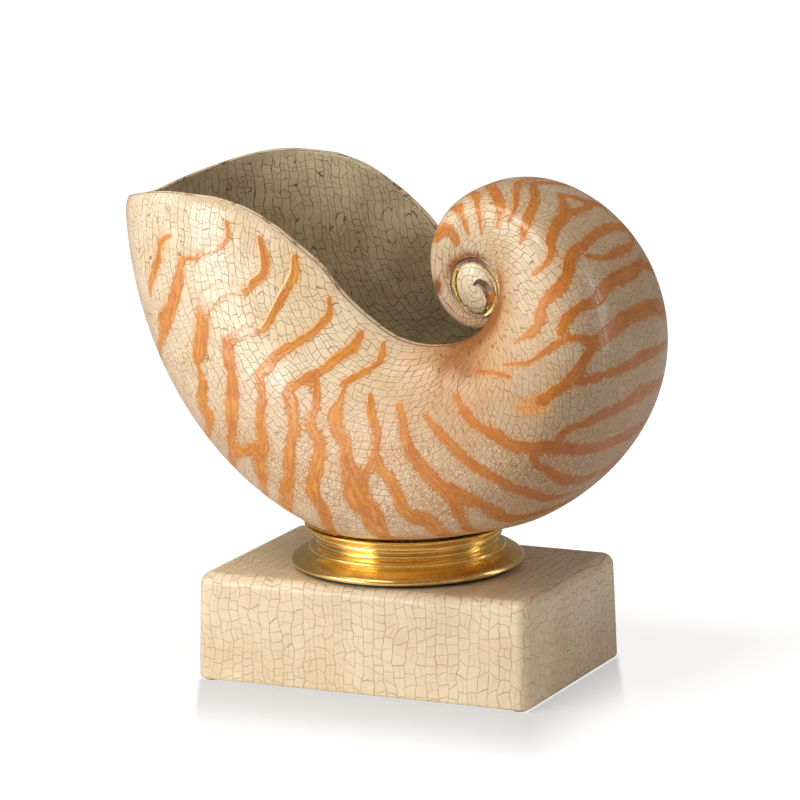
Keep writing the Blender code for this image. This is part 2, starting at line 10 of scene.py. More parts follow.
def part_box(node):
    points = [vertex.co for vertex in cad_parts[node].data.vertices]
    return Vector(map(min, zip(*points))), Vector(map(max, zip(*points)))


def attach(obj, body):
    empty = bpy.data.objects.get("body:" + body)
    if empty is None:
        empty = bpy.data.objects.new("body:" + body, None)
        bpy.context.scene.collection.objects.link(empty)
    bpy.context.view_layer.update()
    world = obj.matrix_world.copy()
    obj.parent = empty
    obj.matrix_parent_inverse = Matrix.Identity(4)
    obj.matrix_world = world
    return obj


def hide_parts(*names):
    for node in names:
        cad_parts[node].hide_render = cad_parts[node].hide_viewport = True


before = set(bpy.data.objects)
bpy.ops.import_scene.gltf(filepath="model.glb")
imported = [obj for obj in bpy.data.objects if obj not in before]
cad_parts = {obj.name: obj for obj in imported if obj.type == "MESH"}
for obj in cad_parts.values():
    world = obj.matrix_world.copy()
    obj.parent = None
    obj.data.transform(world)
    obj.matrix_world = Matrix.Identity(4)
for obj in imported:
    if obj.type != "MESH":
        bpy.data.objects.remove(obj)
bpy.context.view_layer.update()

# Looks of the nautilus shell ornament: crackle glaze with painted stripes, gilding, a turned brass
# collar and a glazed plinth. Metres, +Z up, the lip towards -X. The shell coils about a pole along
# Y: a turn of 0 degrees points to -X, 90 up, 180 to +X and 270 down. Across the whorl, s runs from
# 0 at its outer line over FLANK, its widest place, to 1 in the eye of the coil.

MM = 0.001

# Shell: the same sizes as the solid's, radius from the pole and half width at chosen turns
WHORL_RADIUS = (
    (-203, 0.0117), (-90, 0.0178), (0, 0.0190), (45, 0.0259), (90, 0.0346),
    (180, 0.0514), (270, 0.0895), (330, 0.1170), (380, 0.1442),
)
WHORL_HALF_WIDTH = (
    (-203, 0.0160), (-60, 0.0191), (60, 0.0208), (180, 0.0380), (280, 0.0593), (380, 0.0512),
)
LIP_SIDE = (
    (222, 1), (245, 0.953), (283, 0.920), (310, 0.898), (330, 0.877),
    (352, 0.850), (368, 0.820), (377, 0.790), (381, 0.760),
)
LIP_FRONT = (
    (0, 370.6), (0.2, 372), (0.4, 374.8), (0.6, 378.8), (0.7, 381.4), (0.735, 382.2), (0.76, 381),
)
COIL_START = -203
FIRST_WHORL_END = 200
CAVITY_START = 37
KEEL_TURN = 280
SHOULDER = 0.596
SECTION_POWER = 2.61
FLANK = 0.7
FRONT_BEND = 3
EYE_RADIUS = 0.0106
EYE_RADIUS_GROWTH = 0.0030
EYE_LEVEL = 0.0208
EYE_LEVEL_GROWTH = 0.0058
EYE_OFFSET = (-0.0006, 0, 0.0029)
EYE_INSET = (0.35, 0.8)
KEEL_FADE = (60, 150)
EYE_FADE = (222, 260)
FADE_BEND = 3
WALL = 0.0045
LIP_WALL = 0.0032
BELLY_BLEND = 0.0020
BELLY_RISE = 0.28
SEAM = 0.0006
BASE_LAND = 0.0004
RIM_RADIUS = 0.0367
BASE_SPREAD = 0.0105
SPIGOT_RADIUS = 0.0296

# Shell: the free edge's roundness, and how far it tucks in over the wall's last share; how far the
# glaze lies inside the solid; and how fine the meshes are
EDGE_ROUND = 0.4
EDGE_SHARE = 0.990
EDGE_TUCK = 0.0010
GLAZE_INSET = 0.00012
COIL_STEPS = 40
LIP_STEPS = 250
ACROSS_STEPS = 160
EDGE_STEPS = 6
ROW_CROWDING = 2.6

# Painted stripes: (turn, s in thousandths, width in millimetres) along each brush stroke
STRIPES = (
    # The small coil and the whorl, from the mouth round the back
    ((46, 510, 4.1), (60, 650, 4.1), (67, 745, 3.4), (66, 780, 2.1)),
    ((71, 395, 2.1), (78, 500, 3.1), (82, 680, 2.4), (86, 765, 0.8)),
    ((80, 210, 2.7), (90, 365, 3.1), (96, 615, 2.1), (102, 765, 0.7)),
    ((90, 0, 3.2), (93, 150, 3.8), (106, 405, 3.4), (113, 605, 2.4), (116, 715, 1.0)),
    ((103, 0, 2.2), (106, 80, 2.4), (114, 310, 1.7), (119, 485, 1.2), (121, 620, 1.0)),
    ((111, 0, 2.7), (121, 205, 3.1), (127, 430, 3.4), (134, 645, 2.4), (138, 705, 0.9)),
    ((126, 0, 2.7), (135, 115, 4.1), (139, 290, 3.8), (144, 450, 3.4), (150, 520, 2.7),
     (155, 640, 2.1), (159, 720, 1.1)),
    ((138, 0, 2.1), (138, 80, 2.1), (136, 160, 1.4)),
    ((151, 0, 3.1), (151, 65, 3.1), (153, 205, 2.7), (156, 380, 4.5), (163, 480, 4.1),
     (170, 635, 4.1), (175, 710, 3.1), (183, 725, 3.8), (193, 745, 3.1), (198, 770, 1.7),
     (204, 790, 1.0)),
    ((162, 0, 3.6), (162, 105, 2.1), (159, 230, 1.5)),
    ((172, 0, 5.5), (172, 150, 4.8), (176, 280, 4.1), (178, 395, 3.1), (179, 480, 2.7),
     (184, 595, 3.8), (190, 640, 2.1)),
    ((187, 0, 5.5), (187, 110, 5.5), (190, 245, 5.1), (192, 345, 3.8), (191, 480, 2.4),
     (193, 620, 2.4), (198, 695, 2.1), (208, 735, 1.7), (214, 765, 1.2), (221, 795, 0.9)),
    ((193, 330, 3.4), (197, 420, 3.4), (202, 470, 4.1), (207, 525, 4.1), (212, 600, 3.4),
     (219, 670, 3.6)),
    ((202, 0, 4.5), (203, 105, 3.1), (204, 265, 2.7), (206, 395, 2.4), (208, 520, 2.7)),
    ((241, 835, 1.2), (231, 810, 1.9), (224, 775, 1.7)),
    ((214, 0, 5.4), (215, 45, 4.4), (216, 125, 4.0), (217, 205, 4.0), (219, 295, 3.3),
     (221, 370, 2.6), (223, 430, 2.2), (226, 470, 1.8)),
    # Under the mouth, from the back of the belly to the front
    ((228, 0, 4.2), (228, 230, 4.0), (230, 460, 4.2), (234, 570, 4.3), (237, 635, 3.8),
     (241, 695, 3.8), (244, 725, 3.4), (249, 750, 3.4), (255, 785, 2.9), (260, 815, 1.9)),
    ((240, 0, 3.4), (240, 40, 4.0), (239, 165, 4.0), (238, 285, 3.7), (237, 395, 2.6),
     (237, 495, 2.2), (236, 555, 1.5)),
    ((244, 60, 1.5), (245, 200, 2.6), (245, 330, 3.8), (246, 445, 3.4), (248, 545, 3.4),
     (250, 620, 2.9), (255, 695, 2.9), (259, 720, 3.1), (263, 745, 3.1), (269, 770, 2.6),
     (277, 795, 1.8)),
    ((250, 0, 3.0), (251, 170, 3.2), (253, 240, 3.8), (255, 345, 4.3), (256, 465, 4.3),
     (258, 545, 3.8), (261, 615, 3.8), (265, 665, 4.3)),
    ((262, 0, 3.0), (263, 200, 3.2), (264, 375, 3.4), (264, 560, 3.8), (265, 630, 3.8),
     (268, 685, 4.8), (273, 715, 4.3), (278, 735, 3.8), (282, 755, 3.4), (288, 785, 2.9),
     (293, 805, 1.8)),
    ((270, 0, 3.2), (270, 250, 4.0), (272, 505, 5.8), (276, 565, 5.3), (280, 625, 4.3),
     (282, 675, 3.8), (285, 705, 3.6), (288, 715, 2.9), (291, 725, 2.9), (294, 745, 2.6),
     (297, 765, 2.9), (304, 785, 2.9), (309, 800, 1.8)),
    ((294, 690, 4.8), (294, 705, 2.9), (294, 725, 1.4), (295, 740, 0.7)),
    ((284, 0, 3.8), (284, 250, 4.8), (288, 555, 7.7), (291, 610, 7.7), (294, 655, 9.1),
     (297, 695, 7.2), (300, 710, 4.8), (304, 730, 3.4), (308, 740, 3.8), (314, 755, 4.4),
     (317, 770, 2.4), (320, 785, 1.8)),
    ((323, 790, 1.6), (322, 805, 2.2), (321, 825, 2.2), (322, 845, 2.4), (329, 860, 1.6)),
    ((296, 0, 3.0), (298, 250, 3.6), (300, 475, 4.3), (302, 545, 5.3), (305, 595, 5.3),
     (307, 655, 4.3), (309, 700, 4.3), (313, 720, 3.8), (318, 730, 3.4), (321, 745, 2.9),
     (326, 760, 2.9), (331, 770, 3.0)),
    ((307, 0, 3.0), (309, 250, 4.2), (310, 445, 5.3), (311, 520, 5.3), (312, 595, 3.8),
     (315, 650, 4.3), (318, 695, 3.6), (322, 715, 3.6), (328, 730, 4.3), (331, 735, 2.9),
     (332, 750, 2.9), (332, 780, 3.0), (334, 800, 3.4), (336, 825, 3.4), (341, 840, 2.0)),
    ((314, 300, 1.8), (316, 450, 3.4), (318, 510, 5.8), (320, 570, 3.8), (322, 625, 4.8),
     (325, 655, 3.6), (330, 695, 3.1), (335, 710, 2.6), (338, 715, 2.9), (340, 725, 3.8),
     (343, 750, 3.2), (345, 770, 2.6), (348, 790, 2.6), (353, 810, 2.6), (361, 815, 1.6)),
    ((321, 200, 2.0), (324, 405, 2.9), (325, 465, 4.3), (328, 540, 3.0), (331, 590, 4.1),
     (336, 650, 4.7), (341, 680, 3.3), (345, 690, 4.1), (349, 700, 4.4)),
    ((325, 465, 4.3), (324, 545, 3.4), (322, 610, 3.8)),
    # The front of the lip
    ((330, 300, 1.8), (333, 485, 3.3), (335, 495, 6.0), (338, 525, 4.4), (341, 570, 3.3),
     (344, 585, 2.4)),
    ((346, 595, 3.4), (348, 615, 5.2), (352, 645, 4.7), (355, 660, 4.9)),
    ((345, 250, 1.8), (351, 445, 3.3), (354, 500, 6.6), (356, 540, 4.9), (360, 585, 3.6),
     (364, 615, 3.0), (367, 630, 2.2), (368, 670, 1.2)),
    ((359, 455, 1.4), (361, 470, 2.7), (363, 500, 2.7), (366, 535, 2.3), (369, 550, 1.9),
     (371, 590, 1.0)),
)
# Strokes with a painted highlight along a raised edge, and strokes painted pale where they join
# others, partly as a painted highlight on their raised paint
LIT_STRIPES = (
    ((372, 708, 1.0), (375, 715, 1.7), (378, 712, 1.5)),
    ((363, 735, 2.0), (365, 740, 2.8), (368, 750, 3.2), (373, 750, 3.0), (377, 745, 2.0)),
    ((351, 740, 1.8), (356, 755, 2.7), (363, 770, 3.0), (369, 780, 3.2), (375, 780, 2.2)),
)
PALE_SHEEN_STRIPES = (
    ((355, 660, 4.6), (357, 670, 4.9), (360, 690, 4.9), (362, 710, 3.8), (362, 730, 2.4)),
    ((349, 700, 3.6), (350, 705, 3.2), (351, 720, 3.2), (351, 735, 2.0)),
    ((368, 670, 1.2), (370, 690, 2.0), (372, 710, 1.6)),
)

# Groove of the eye, wound out from the top of its dome: (x, z, width) from its middle in
# millimetres, then 1 where it's gilded or 0 where it's left brown
EYE_GROOVE = (
    (0.6, 1.0, 0.5, 0.0), (2.3, 2.0, 1.6, 0.0), (4.3, 1.1, 2.2, 0.0), (5.8, -1.2, 2.3, 0.4),
    (6.6, -3.6, 2.5, 1.0), (6.1, -6.2, 2.4, 1.0), (4.6, -8.4, 1.8, 1.0), (2.6, -9.9, 1.2, 0.5),
    (-0.4, -10.3, 1.2, 0.4), (-3.2, -9.2, 1.2, 0.7), (-5.6, -7.2, 1.3, 1.0), (-7.5, -4.4, 1.7, 1.0),
    (-8.5, -0.7, 2.2, 1.0), (-8.0, 3.6, 2.0, 1.0), (-5.9, 7.3, 1.6, 0.3), (-2.5, 9.2, 1.5, 0.0),
    (1.3, 9.3, 1.4, 0.0), (4.7, 7.4, 1.2, 0.3), (7.2, 4.7, 1.2, 1.0), (8.7, 1.5, 1.2, 1.0),
    (9.1, -2.0, 1.2, 1.0), (8.5, -5.5, 1.1, 1.0), (7.3, -8.8, 0.8, 0.4),
)
# Eye: half the dome's width and height in millimetres, its lean in degrees, its rise and the slopes
# of its face along x and z; the levels of face and back, the face's oval, how far it overlaps the
# coil and tucks in at the edge; the turn at which the coil's spiral steps; and its steps
EYE_DOME = (7.4, 9.4)
EYE_TILT = 10
EYE_RISE = 0.0030
EYE_SLOPE = (0.07, 0.09)
EYE_FACE = 0.0192
EYE_BACK = 0.0135
EYE_OVAL = (0.0106, 0.0114)
EYE_OVERLAP = 0.0003
EYE_STRETCH = 1.04
EYE_TUCK = 0.0014
EYE_TURN = 42
EYE_RINGS = 72
EYE_STEPS = 300
GROOVE_SAMPLES = 600
GROOVE_DEPTH = 0.0008
GROOVE_LIP = 0.00022

# Strokes: how much wider they're painted than measured, how far from a stroke its marks reach, how
# the far side's strokes sway (degrees) and swell, and the lengths over which pale ones fade
STROKE_SPREAD = 1.12
STROKE_REACH = 0.0035
FAR_SWAY = 6
FAR_SWELL = 0.15
PALE_FADES = (0.007, 0.004)

# Crackle: the size of its pieces and the width of its cracks in millimetres, on the plinth's sides
# and top too, the scale of its marks in the mouth, and the step in degrees of its tables
SHELL_CELL = 2.9
SHELL_CRACK = 0.42
INNER_CRACKLE = 0.82
PLINTH_CELL = 4.0
PLINTH_CRACKS = (0.46, 0.75)
CRACKLE_TURN = 3.0

# Looks by place, from where they begin to where they're full: fine crackle under the belly, at the
# front and at the back; painted shade to the right and below the pole; painted shade deeper in the
# mouth
FINE_BELLY_Z = (0.118, 0.094)
FINE_FRONT_X = (-0.045, -0.065)
FINE_FRONT_Z = (0.150, 0.120)
FINE_BACK_X = (0.062, 0.082)
SHADE_X = (0.020, 0.090)
SHADE_UNDER_POLE = (-0.010, -0.070)
MOUTH_DEPTH_Z = (0.150, 0.110)

# Blushes of peach: under the mouth, where they deepen to tan partly as painted shade, as (turn,
# distance from the pole, y) and its size; beside the eye, as distance and breadth; along the keel,
# breadth and strength over and under its limit
DIP_PLACE = (262.0, 0.024, 0.035)
DIP_SIZE = 0.022
EYE_BLUSH = (0.013, 0.005)
KEEL_BLUSH = (0.016, 0.15, 0.5)
KEEL_LIMIT = 0.015
BLUSH_MOST = 1.15

# Orange smeared low on the near side, at (x, z) and of that size; dark brown in a drop beside the
# eye, at (x, z) from it; gilding on the belly's rim, partly a painted reflection of the brass
# collar, and on the base
SMEAR = (0.0728, 0.1112)
SMEAR_SIZE = (0.0085, 0.0045)
DROP = (-0.0147, -0.0010)
RIM_GILT_AND_REFLECTION = (0.75, 0.0012)
BASE_GILT = 0.62

# Base under the belly: shares of its spread, the curve of its flare, its gap and its steps
BASE_FLARE = (0.83, 0.67, 0.5, 0.33, 0.17)
BASE_CURVE = 0.6
SPIGOT_GAP = 0.0003
BASE_STEPS = 144

# Collar, as (radius, height): the rim and the cove's start measured down from the top, the cove's
# end, the side and the inside up from the foot, the foot's edge out from its radius; the depth of
# the cove, the softening of corners, the uneven turning as (depth, waves, phase), and the steps
COLLAR_RIM = ((0.0300, 0.0001), (0.0362, 0.0001), (0.0367, 0.0006))
COVE_START = (0.0365, 0.0012)
COVE_END = (0.0336, 0.0106)
COVE_DEPTH = 0.0012
COVE_STEPS = 9
COLLAR_SIDE = (
    (0.0339, 0.0103), (0.0337, 0.0097), (0.0325, 0.0092), (0.0320, 0.0080), (0.0326, 0.0069),
    (0.0347, 0.0064), (0.0351, 0.0058), (0.0350, 0.0053), (0.0362, 0.0047), (0.0375, 0.0043),
    (0.0392, 0.0035), (0.0408, 0.0025),
)
COLLAR_FOOT = ((-0.0003, 0.0017), (0.0, 0.0009), (-0.0006, 0.0001))
COLLAR_INSIDE = (
    (0.0350, 0.0001), (0.0299, 0.0076), (0.0264, 0.0076), (0.0264, 0.0095), (0.0300, 0.0095),
)
COLLAR_INSET = 0.00005
COLLAR_SOFTENING = 0.0004
COLLAR_WOBBLE = ((0.00006, 3, 0.7), (0.00004, 7, 2))
WOBBLE_FROM = 0.0305
COLLAR_STEPS = 192

# Plinth: how much its top is narrower on each side, its roundings, its wall and its top
PLINTH_DRAFT = 0.0009
PLINTH_ROUNDING = 0.0042
FOOT_ROUNDING = 0.0014
PLINTH_WALL = 0.0051
PLINTH_TOP = 0.0070

# The photograph's view: its angles in degrees, what it looks at and from how far, and its lens
CAMERA_AZIMUTH = 24.85
CAMERA_ELEVATION = 12.15
CAMERA_ROLL = -0.961
CAMERA_TARGET = (0.0017, -0.0002, 0.0981)
CAMERA_DISTANCE = 2.0
CAMERA_LENS = 253.6
SENSOR_WIDTH = 36

# Studio: the room's light in all and in reflections and its tint; the floor's own light near the
# plinth and away from it and over which distances it rises; the drawn reflection's reach and depth
ROOM_LIGHT = 0.22
ROOM_GLOSS = 0.14
ROOM_TINT = (1.0, 0.87, 0.74)
FLOOR_SIZE = 6
FLOOR_GLOW = (0.03, 0.12, 0.84, 1.05)
MIRROR_REACH = 0.085
MIRROR_DEPTH = 0.34


def smooth_through(stations):
    """The natural cubic spline through (position, value) stations, as a function of arrays."""
    at = np.array([position for position, _ in stations], float)
    value = np.array([value for _, value in stations], float)
    step = np.diff(at)
    slope = np.diff(value) / step
    system = np.eye(len(at))
    target = np.zeros(len(at))
    for i in range(1, len(at) - 1):
        system[i, i - 1 : i + 2] = step[i - 1], 2 * (step[i - 1] + step[i]), step[i]
        target[i] = 6 * (slope[i] - slope[i - 1])
    bend = np.linalg.solve(system, target)

    def curve(position):
        i = np.clip(np.searchsorted(at, position) - 1, 0, len(step) - 1)
        before = position - at[i]
        after = at[i + 1] - position
        cubic = (bend[i] * after**3 + bend[i + 1] * before**3) / (6 * step[i])
        linear_low = (value[i] / step[i] - bend[i] * step[i] / 6) * after
        linear_high = (value[i + 1] / step[i] - bend[i + 1] * step[i] / 6) * before
        return cubic + linear_low + linear_high

    return curve


log_radius = smooth_through([(turn, math.log(radius)) for turn, radius in WHORL_RADIUS])
log_half_width = smooth_through([(turn, math.log(width)) for turn, width in WHORL_HALF_WIDTH])
lip_side = smooth_through(LIP_SIDE)
lip_front = smooth_through(LIP_FRONT)
LIP_START = LIP_SIDE[0][0]
LIP_END = LIP_SIDE[-1][0]
LIP_CORNER = LIP_FRONT[-1][0]


def section(turn, s, inset):
    """Distances of the whorl's surface, inset into its wall, from the pole and the middle plane."""
    grown = (turn - 180) / 360
    eye_radius = EYE_RADIUS + EYE_RADIUS_GROWTH * grown
    eye_level = EYE_LEVEL + EYE_LEVEL_GROWTH * grown
    radius = np.maximum(np.exp(log_radius(turn)), eye_radius)
    half_width = np.maximum(np.exp(log_half_width(turn)), eye_level)
    shoulder = eye_radius + SHOULDER * (radius - eye_radius)
    outwards = np.clip(s / FLANK, 0, 1) * math.pi / 2
    inwards = np.clip((s - FLANK) / (1 - FLANK), 0, 1) * math.pi / 2
    rho_out = shoulder + (radius - inset - shoulder) * np.cos(outwards) ** (2 / SECTION_POWER)
    y_out = (half_width - inset) * np.sin(outwards) ** (2 / SECTION_POWER)
    rho_in = shoulder - (shoulder - eye_radius - EYE_INSET[0] * inset) * np.sin(inwards)
    level = eye_level - EYE_INSET[1] * inset
    y_in = level + (half_width - inset - level) * np.cos(inwards)
    return np.where(s < FLANK, rho_out, rho_in), np.where(s < FLANK, y_out, y_in)


def eye_offset(turn, s):
    """The offset of the inner turns, which fades out earlier at the keel than at the eye."""
    start, end = (keel + (eye - keel) * s**FADE_BEND for keel, eye in zip(KEEL_FADE, EYE_FADE))
    share = np.clip((end - turn) / (end - start), 0, 1)
    return (share**2 * (3 - 2 * share))[..., None] * np.array(EYE_OFFSET)


# Places of the pole, the seat, the heights over it and the plinth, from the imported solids
shell_high = Vector(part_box("shell_body")[1])
collar_low, collar_high = (Vector(corner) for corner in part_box("brass_collar"))
plinth_low, plinth_high = (Vector(corner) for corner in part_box("plinth"))
PLINTH_MIDDLE = (plinth_low + plinth_high) / 2
PLINTH_HALF = (plinth_high - plinth_low) / 2
all_turns = np.arange(COIL_START, LIP_FRONT[0][1], 0.25)
around = np.radians(all_turns)
keel_radius = np.exp(log_radius(all_turns))
lifted = keel_radius * np.sin(around) + eye_offset(all_turns, 0.0)[..., 2]
POLE = Vector((
    shell_high.x - (-keel_radius * np.cos(around)).max(),
    0.0,
    shell_high.z - lifted[all_turns < FIRST_WHORL_END].max(),
))
EYE = POLE + Vector(EYE_OFFSET)
SEAT = Vector(((collar_low.x + collar_high.x) / 2, 0.0, 0.0))
BASE_LOW = collar_high.z + SEAM
BELLY_FLAT = BASE_LOW + BASE_LAND


def around_pole(turn, rho, y):
    angle = np.radians(turn)
    return np.stack([POLE.x - rho * np.cos(angle), y, POLE.z + rho * np.sin(angle)], axis=-1)


def shell_surface(turn, s, side, inset):
    """Points of the whorl in their places, with the belly pressed flat above the collar."""
    rho, y = section(turn, s, inset)
    points = around_pole(turn, rho, side * y) + eye_offset(turn, s)
    beyond_rim = np.maximum(0, np.hypot(points[..., 0] - SEAT.x, points[..., 1]) - RIM_RADIUS)
    lowest = BELLY_FLAT + inset + BELLY_RISE * beyond_rim
    above = points[..., 2] - lowest
    blended = lowest + (above + BELLY_BLEND) ** 2 / (4 * BELLY_BLEND)
    pressed = np.where(above < BELLY_BLEND, blended, points[..., 2])
    points[..., 2] = np.where(above < -BELLY_BLEND, lowest, pressed)
    return points


def last_s(turn):
    """How far the wall reaches across the flank: into the eye, or past LIP_START to the lip."""
    side = np.minimum(1.0, lip_side(np.minimum(turn, LIP_END)))
    return np.where(turn <= LIP_START, 1.0, side)


def even_across():
    """s against the share of the way across one flank, spread evenly by length at the keel."""
    samples = np.linspace(0, 1, 801)
    s = samples * last_s(np.array(float(KEEL_TURN)))
    rho, y = section(np.full_like(s, KEEL_TURN), s, 0.0)
    length = np.concatenate([[0], np.cumsum(np.hypot(np.diff(rho), np.diff(y)))])
    return length / length[-1], samples


EVEN_LENGTH, EVEN_PLACE = even_across()


def crackle_lengths():
    """Tables for the rows of the crackle: how far across the whorl a place lies from its keel, how
    far along its row, and how fast the length along changes from row to row."""
    turns = np.arange(COIL_START, LIP_END + 2 * CRACKLE_TURN, CRACKLE_TURN)
    places = np.linspace(0, 1, 241)
    rho, y = section(turns[:, None], places[None, :], 0.0)
    steps = np.hypot(np.diff(rho, axis=1), np.diff(y, axis=1))
    across = np.concatenate([np.zeros((len(turns), 1)), np.cumsum(steps, axis=1)], axis=1)
    reach = np.linspace(0, across.max(), 160)
    radius = np.array([np.interp(reach, row, spots) for row, spots in zip(across, rho)])
    along = np.cumsum(radius, axis=0) * math.radians(CRACKLE_TURN)
    return turns, places, across, reach, along, np.gradient(along, reach, axis=1)


def read_table(values, firsts, seconds, first, second):
    """The value between the entries of a table with even steps."""
    i = np.clip((first - firsts[0]) / (firsts[1] - firsts[0]), 0, len(firsts) - 1.001)
    j = np.clip((second - seconds[0]) / (seconds[1] - seconds[0]), 0, len(seconds) - 1.001)
    low_i, low_j = i.astype(int), j.astype(int)
    part_i, part_j = i - low_i, j - low_j
    low = values[low_i, low_j] * (1 - part_j) + values[low_i, low_j + 1] * part_j
    high = values[low_i + 1, low_j] * (1 - part_j) + values[low_i + 1, low_j + 1] * part_j
    return low * (1 - part_i) + high * part_i


TURNS, PLACES, ACROSS_LENGTH, REACH, ALONG_LENGTH, SHEAR = crackle_lengths()


def crackle_marks(spots, scale=1.0):
    """The marks that lay out the crackle's rows, in millimetres times the scale, for places given
    as (turn, s, side)."""

    def across(first, second):
        turn, s, _ = spots(first, second)
        return read_table(ACROSS_LENGTH, TURNS, PLACES, turn, s)

    def row(first, second):
        return across(first, second) / MM * scale

    def read(table, first, second):
        return read_table(table, TURNS, REACH, spots(first, second)[0], across(first, second))

    def along(first, second):
        return read(ALONG_LENGTH, first, second) / MM * scale

    def shear(first, second):
        return read(SHEAR, first, second)

    return {"row": row, "along": along, "shear": shear}


def lip_spots(along, across):
    """(turn, s, side) from the place along the cavity's wall, 0 to 1, and across it, -1 to 1."""
    crowded = np.log(1 + (ROW_CROWDING - 1) * along) / math.log(ROW_CROWDING)
    turn = CAVITY_START + (LIP_END - CAVITY_START) * crowded
    s = np.interp(np.abs(across), EVEN_LENGTH, EVEN_PLACE) * last_s(turn)
    front = lip_front(np.minimum(s, LIP_CORNER))
    return turn + (front - LIP_END) * crowded**FRONT_BEND, s, np.where(across < 0, -1.0, 1.0)


def wall_at(along):
    return WALL + (LIP_WALL - WALL) * along**2


def outer_wall(along, across):
    turn, s, side = lip_spots(along, across)
    near_edge = np.clip((along - EDGE_SHARE) / (1 - EDGE_SHARE), 0, 1)
    return shell_surface(turn, s, side, GLAZE_INSET + EDGE_TUCK * near_edge**2)


def inner_wall(along, across):
    turn, s, side = lip_spots(along, across)
    return shell_surface(turn, s, side, wall_at(along) - GLAZE_INSET)


def add(name, data):
    """A new object in the scene."""
    thing = bpy.data.objects.new(name, data)
    bpy.context.scene.collection.objects.link(thing)
    return thing


def add_mesh(name, bm, material):
    mesh = bpy.data.meshes.new(name)
    bm.to_mesh(mesh)
    bm.free()
    mesh.materials.append(material)
    return add(name, mesh)


class Sculpt:
    """A mesh in the making, with named numbers kept at its vertices for the materials."""

    def __init__(self, *marks):
        self.bm = bmesh.new()
        self.marks = {mark: self.bm.verts.layers.float.new(mark) for mark in marks}

    def grid(self, first_steps, second_steps, place, **marks):
        """A grid of faces whose corners go where place(first, second) says, both from 0 to 1."""
        verts = bmesh.ops.create_grid(
            self.bm, x_segments=first_steps, y_segments=second_steps, size=0.5
        )["verts"]
        shares = np.array([(vert.co.x + 0.5, vert.co.y + 0.5) for vert in verts])
        first, second = shares[:, 0], shares[:, 1]
        for vert, point in zip(verts, place(first, second)):
            vert.co = point
        for mark, value in marks.items():
            values = value(first, second) if callable(value) else np.full(len(shares), value)
            for vert, number in zip(verts, values):
                vert[self.marks[mark]] = number

    def turned(self, profile, steps):
        """A profile of (radius, height) points turned a whole turn about the Z axis."""
        points = [self.bm.verts.new((radius, 0.0, height)) for radius, height in profile]
        edges = [self.bm.edges.new(pair) for pair in zip(points, points[1:])]
        if min(radius for radius, _ in profile) > 0:
            edges.append(self.bm.edges.new((points[-1], points[0])))
        bmesh.ops.spin(
            self.bm, geom=points + edges, cent=(0, 0, 0), axis=(0, 0, 1), dvec=(0, 0, 0),
            angle=math.tau, steps=steps, use_merge=True,
        )
        bmesh.ops.remove_doubles(self.bm, verts=self.bm.verts, dist=1e-7)

    def finish(self, name, material, sharp=None):
        """The mesh as an object that rides on the one body, faces out and shaded smooth."""
        bmesh.ops.recalc_face_normals(self.bm, faces=self.bm.faces)
        piece = add_mesh(name, self.bm, material)
        piece.data.shade_smooth()
        if sharp:
            piece.data.set_sharp_from_angle(angle=math.radians(sharp))
        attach(piece, "root")
        return piece


def adds(operation, swapped=False):
    """A method of Link that adds a Math node, with the link as its last value if swapped."""

    def method(link, *others):
        values = (*others, link) if swapped else (link, *others)
        return link.nodes.math(operation, *values)

    return method


class Link:
    """An output of a node, on which the arithmetic signs add Math nodes."""

    def __init__(self, nodes, socket):
        self.nodes = nodes
        self.socket = socket

    __add__, __radd__ = adds("ADD"), adds("ADD", True)
    __sub__, __rsub__ = adds("SUBTRACT"), adds("SUBTRACT", True)
    __mul__, __rmul__ = adds("MULTIPLY"), adds("MULTIPLY", True)
    __truediv__, __pow__, __abs__ = adds("DIVIDE"), adds("POWER"), adds("ABSOLUTE")
    least, most, floor = adds("MINIMUM"), adds("MAXIMUM"), adds("FLOOR")
    above, arctan2, sine = adds("GREATER_THAN"), adds("ARCTAN2"), adds("SINE")


class Nodes:
    """A tree of shader nodes, made one by one."""

    def __init__(self, tree):
        self.tree = tree

    def node(self, kind, settings=None, values=None, output=0):
        """One node of any kind: its settings, then its inputs as numbers, colours or links."""
        made = self.tree.nodes.new("ShaderNode" + kind)
        for name, setting in (settings or {}).items():
            setattr(made, name, setting)
        for key, value in (values or {}).items():
            self.feed(made.inputs[key], value)
        return Link(self, made.outputs[output])

    def feed(self, socket, value):
        if isinstance(value, Link):
            self.tree.links.new(value.socket, socket)
        elif socket.type == "RGBA":
            socket.default_value = (*value[:3], 1.0)
        else:
            socket.default_value = value

    def math(self, operation, *values):
        return self.node("Math", {"operation": operation}, dict(enumerate(values)))

    def mix(self, share, first, second):
        return self.node("Mix", {"data_type": "RGBA"}, {0: share, 6: first, 7: second}, output=2)


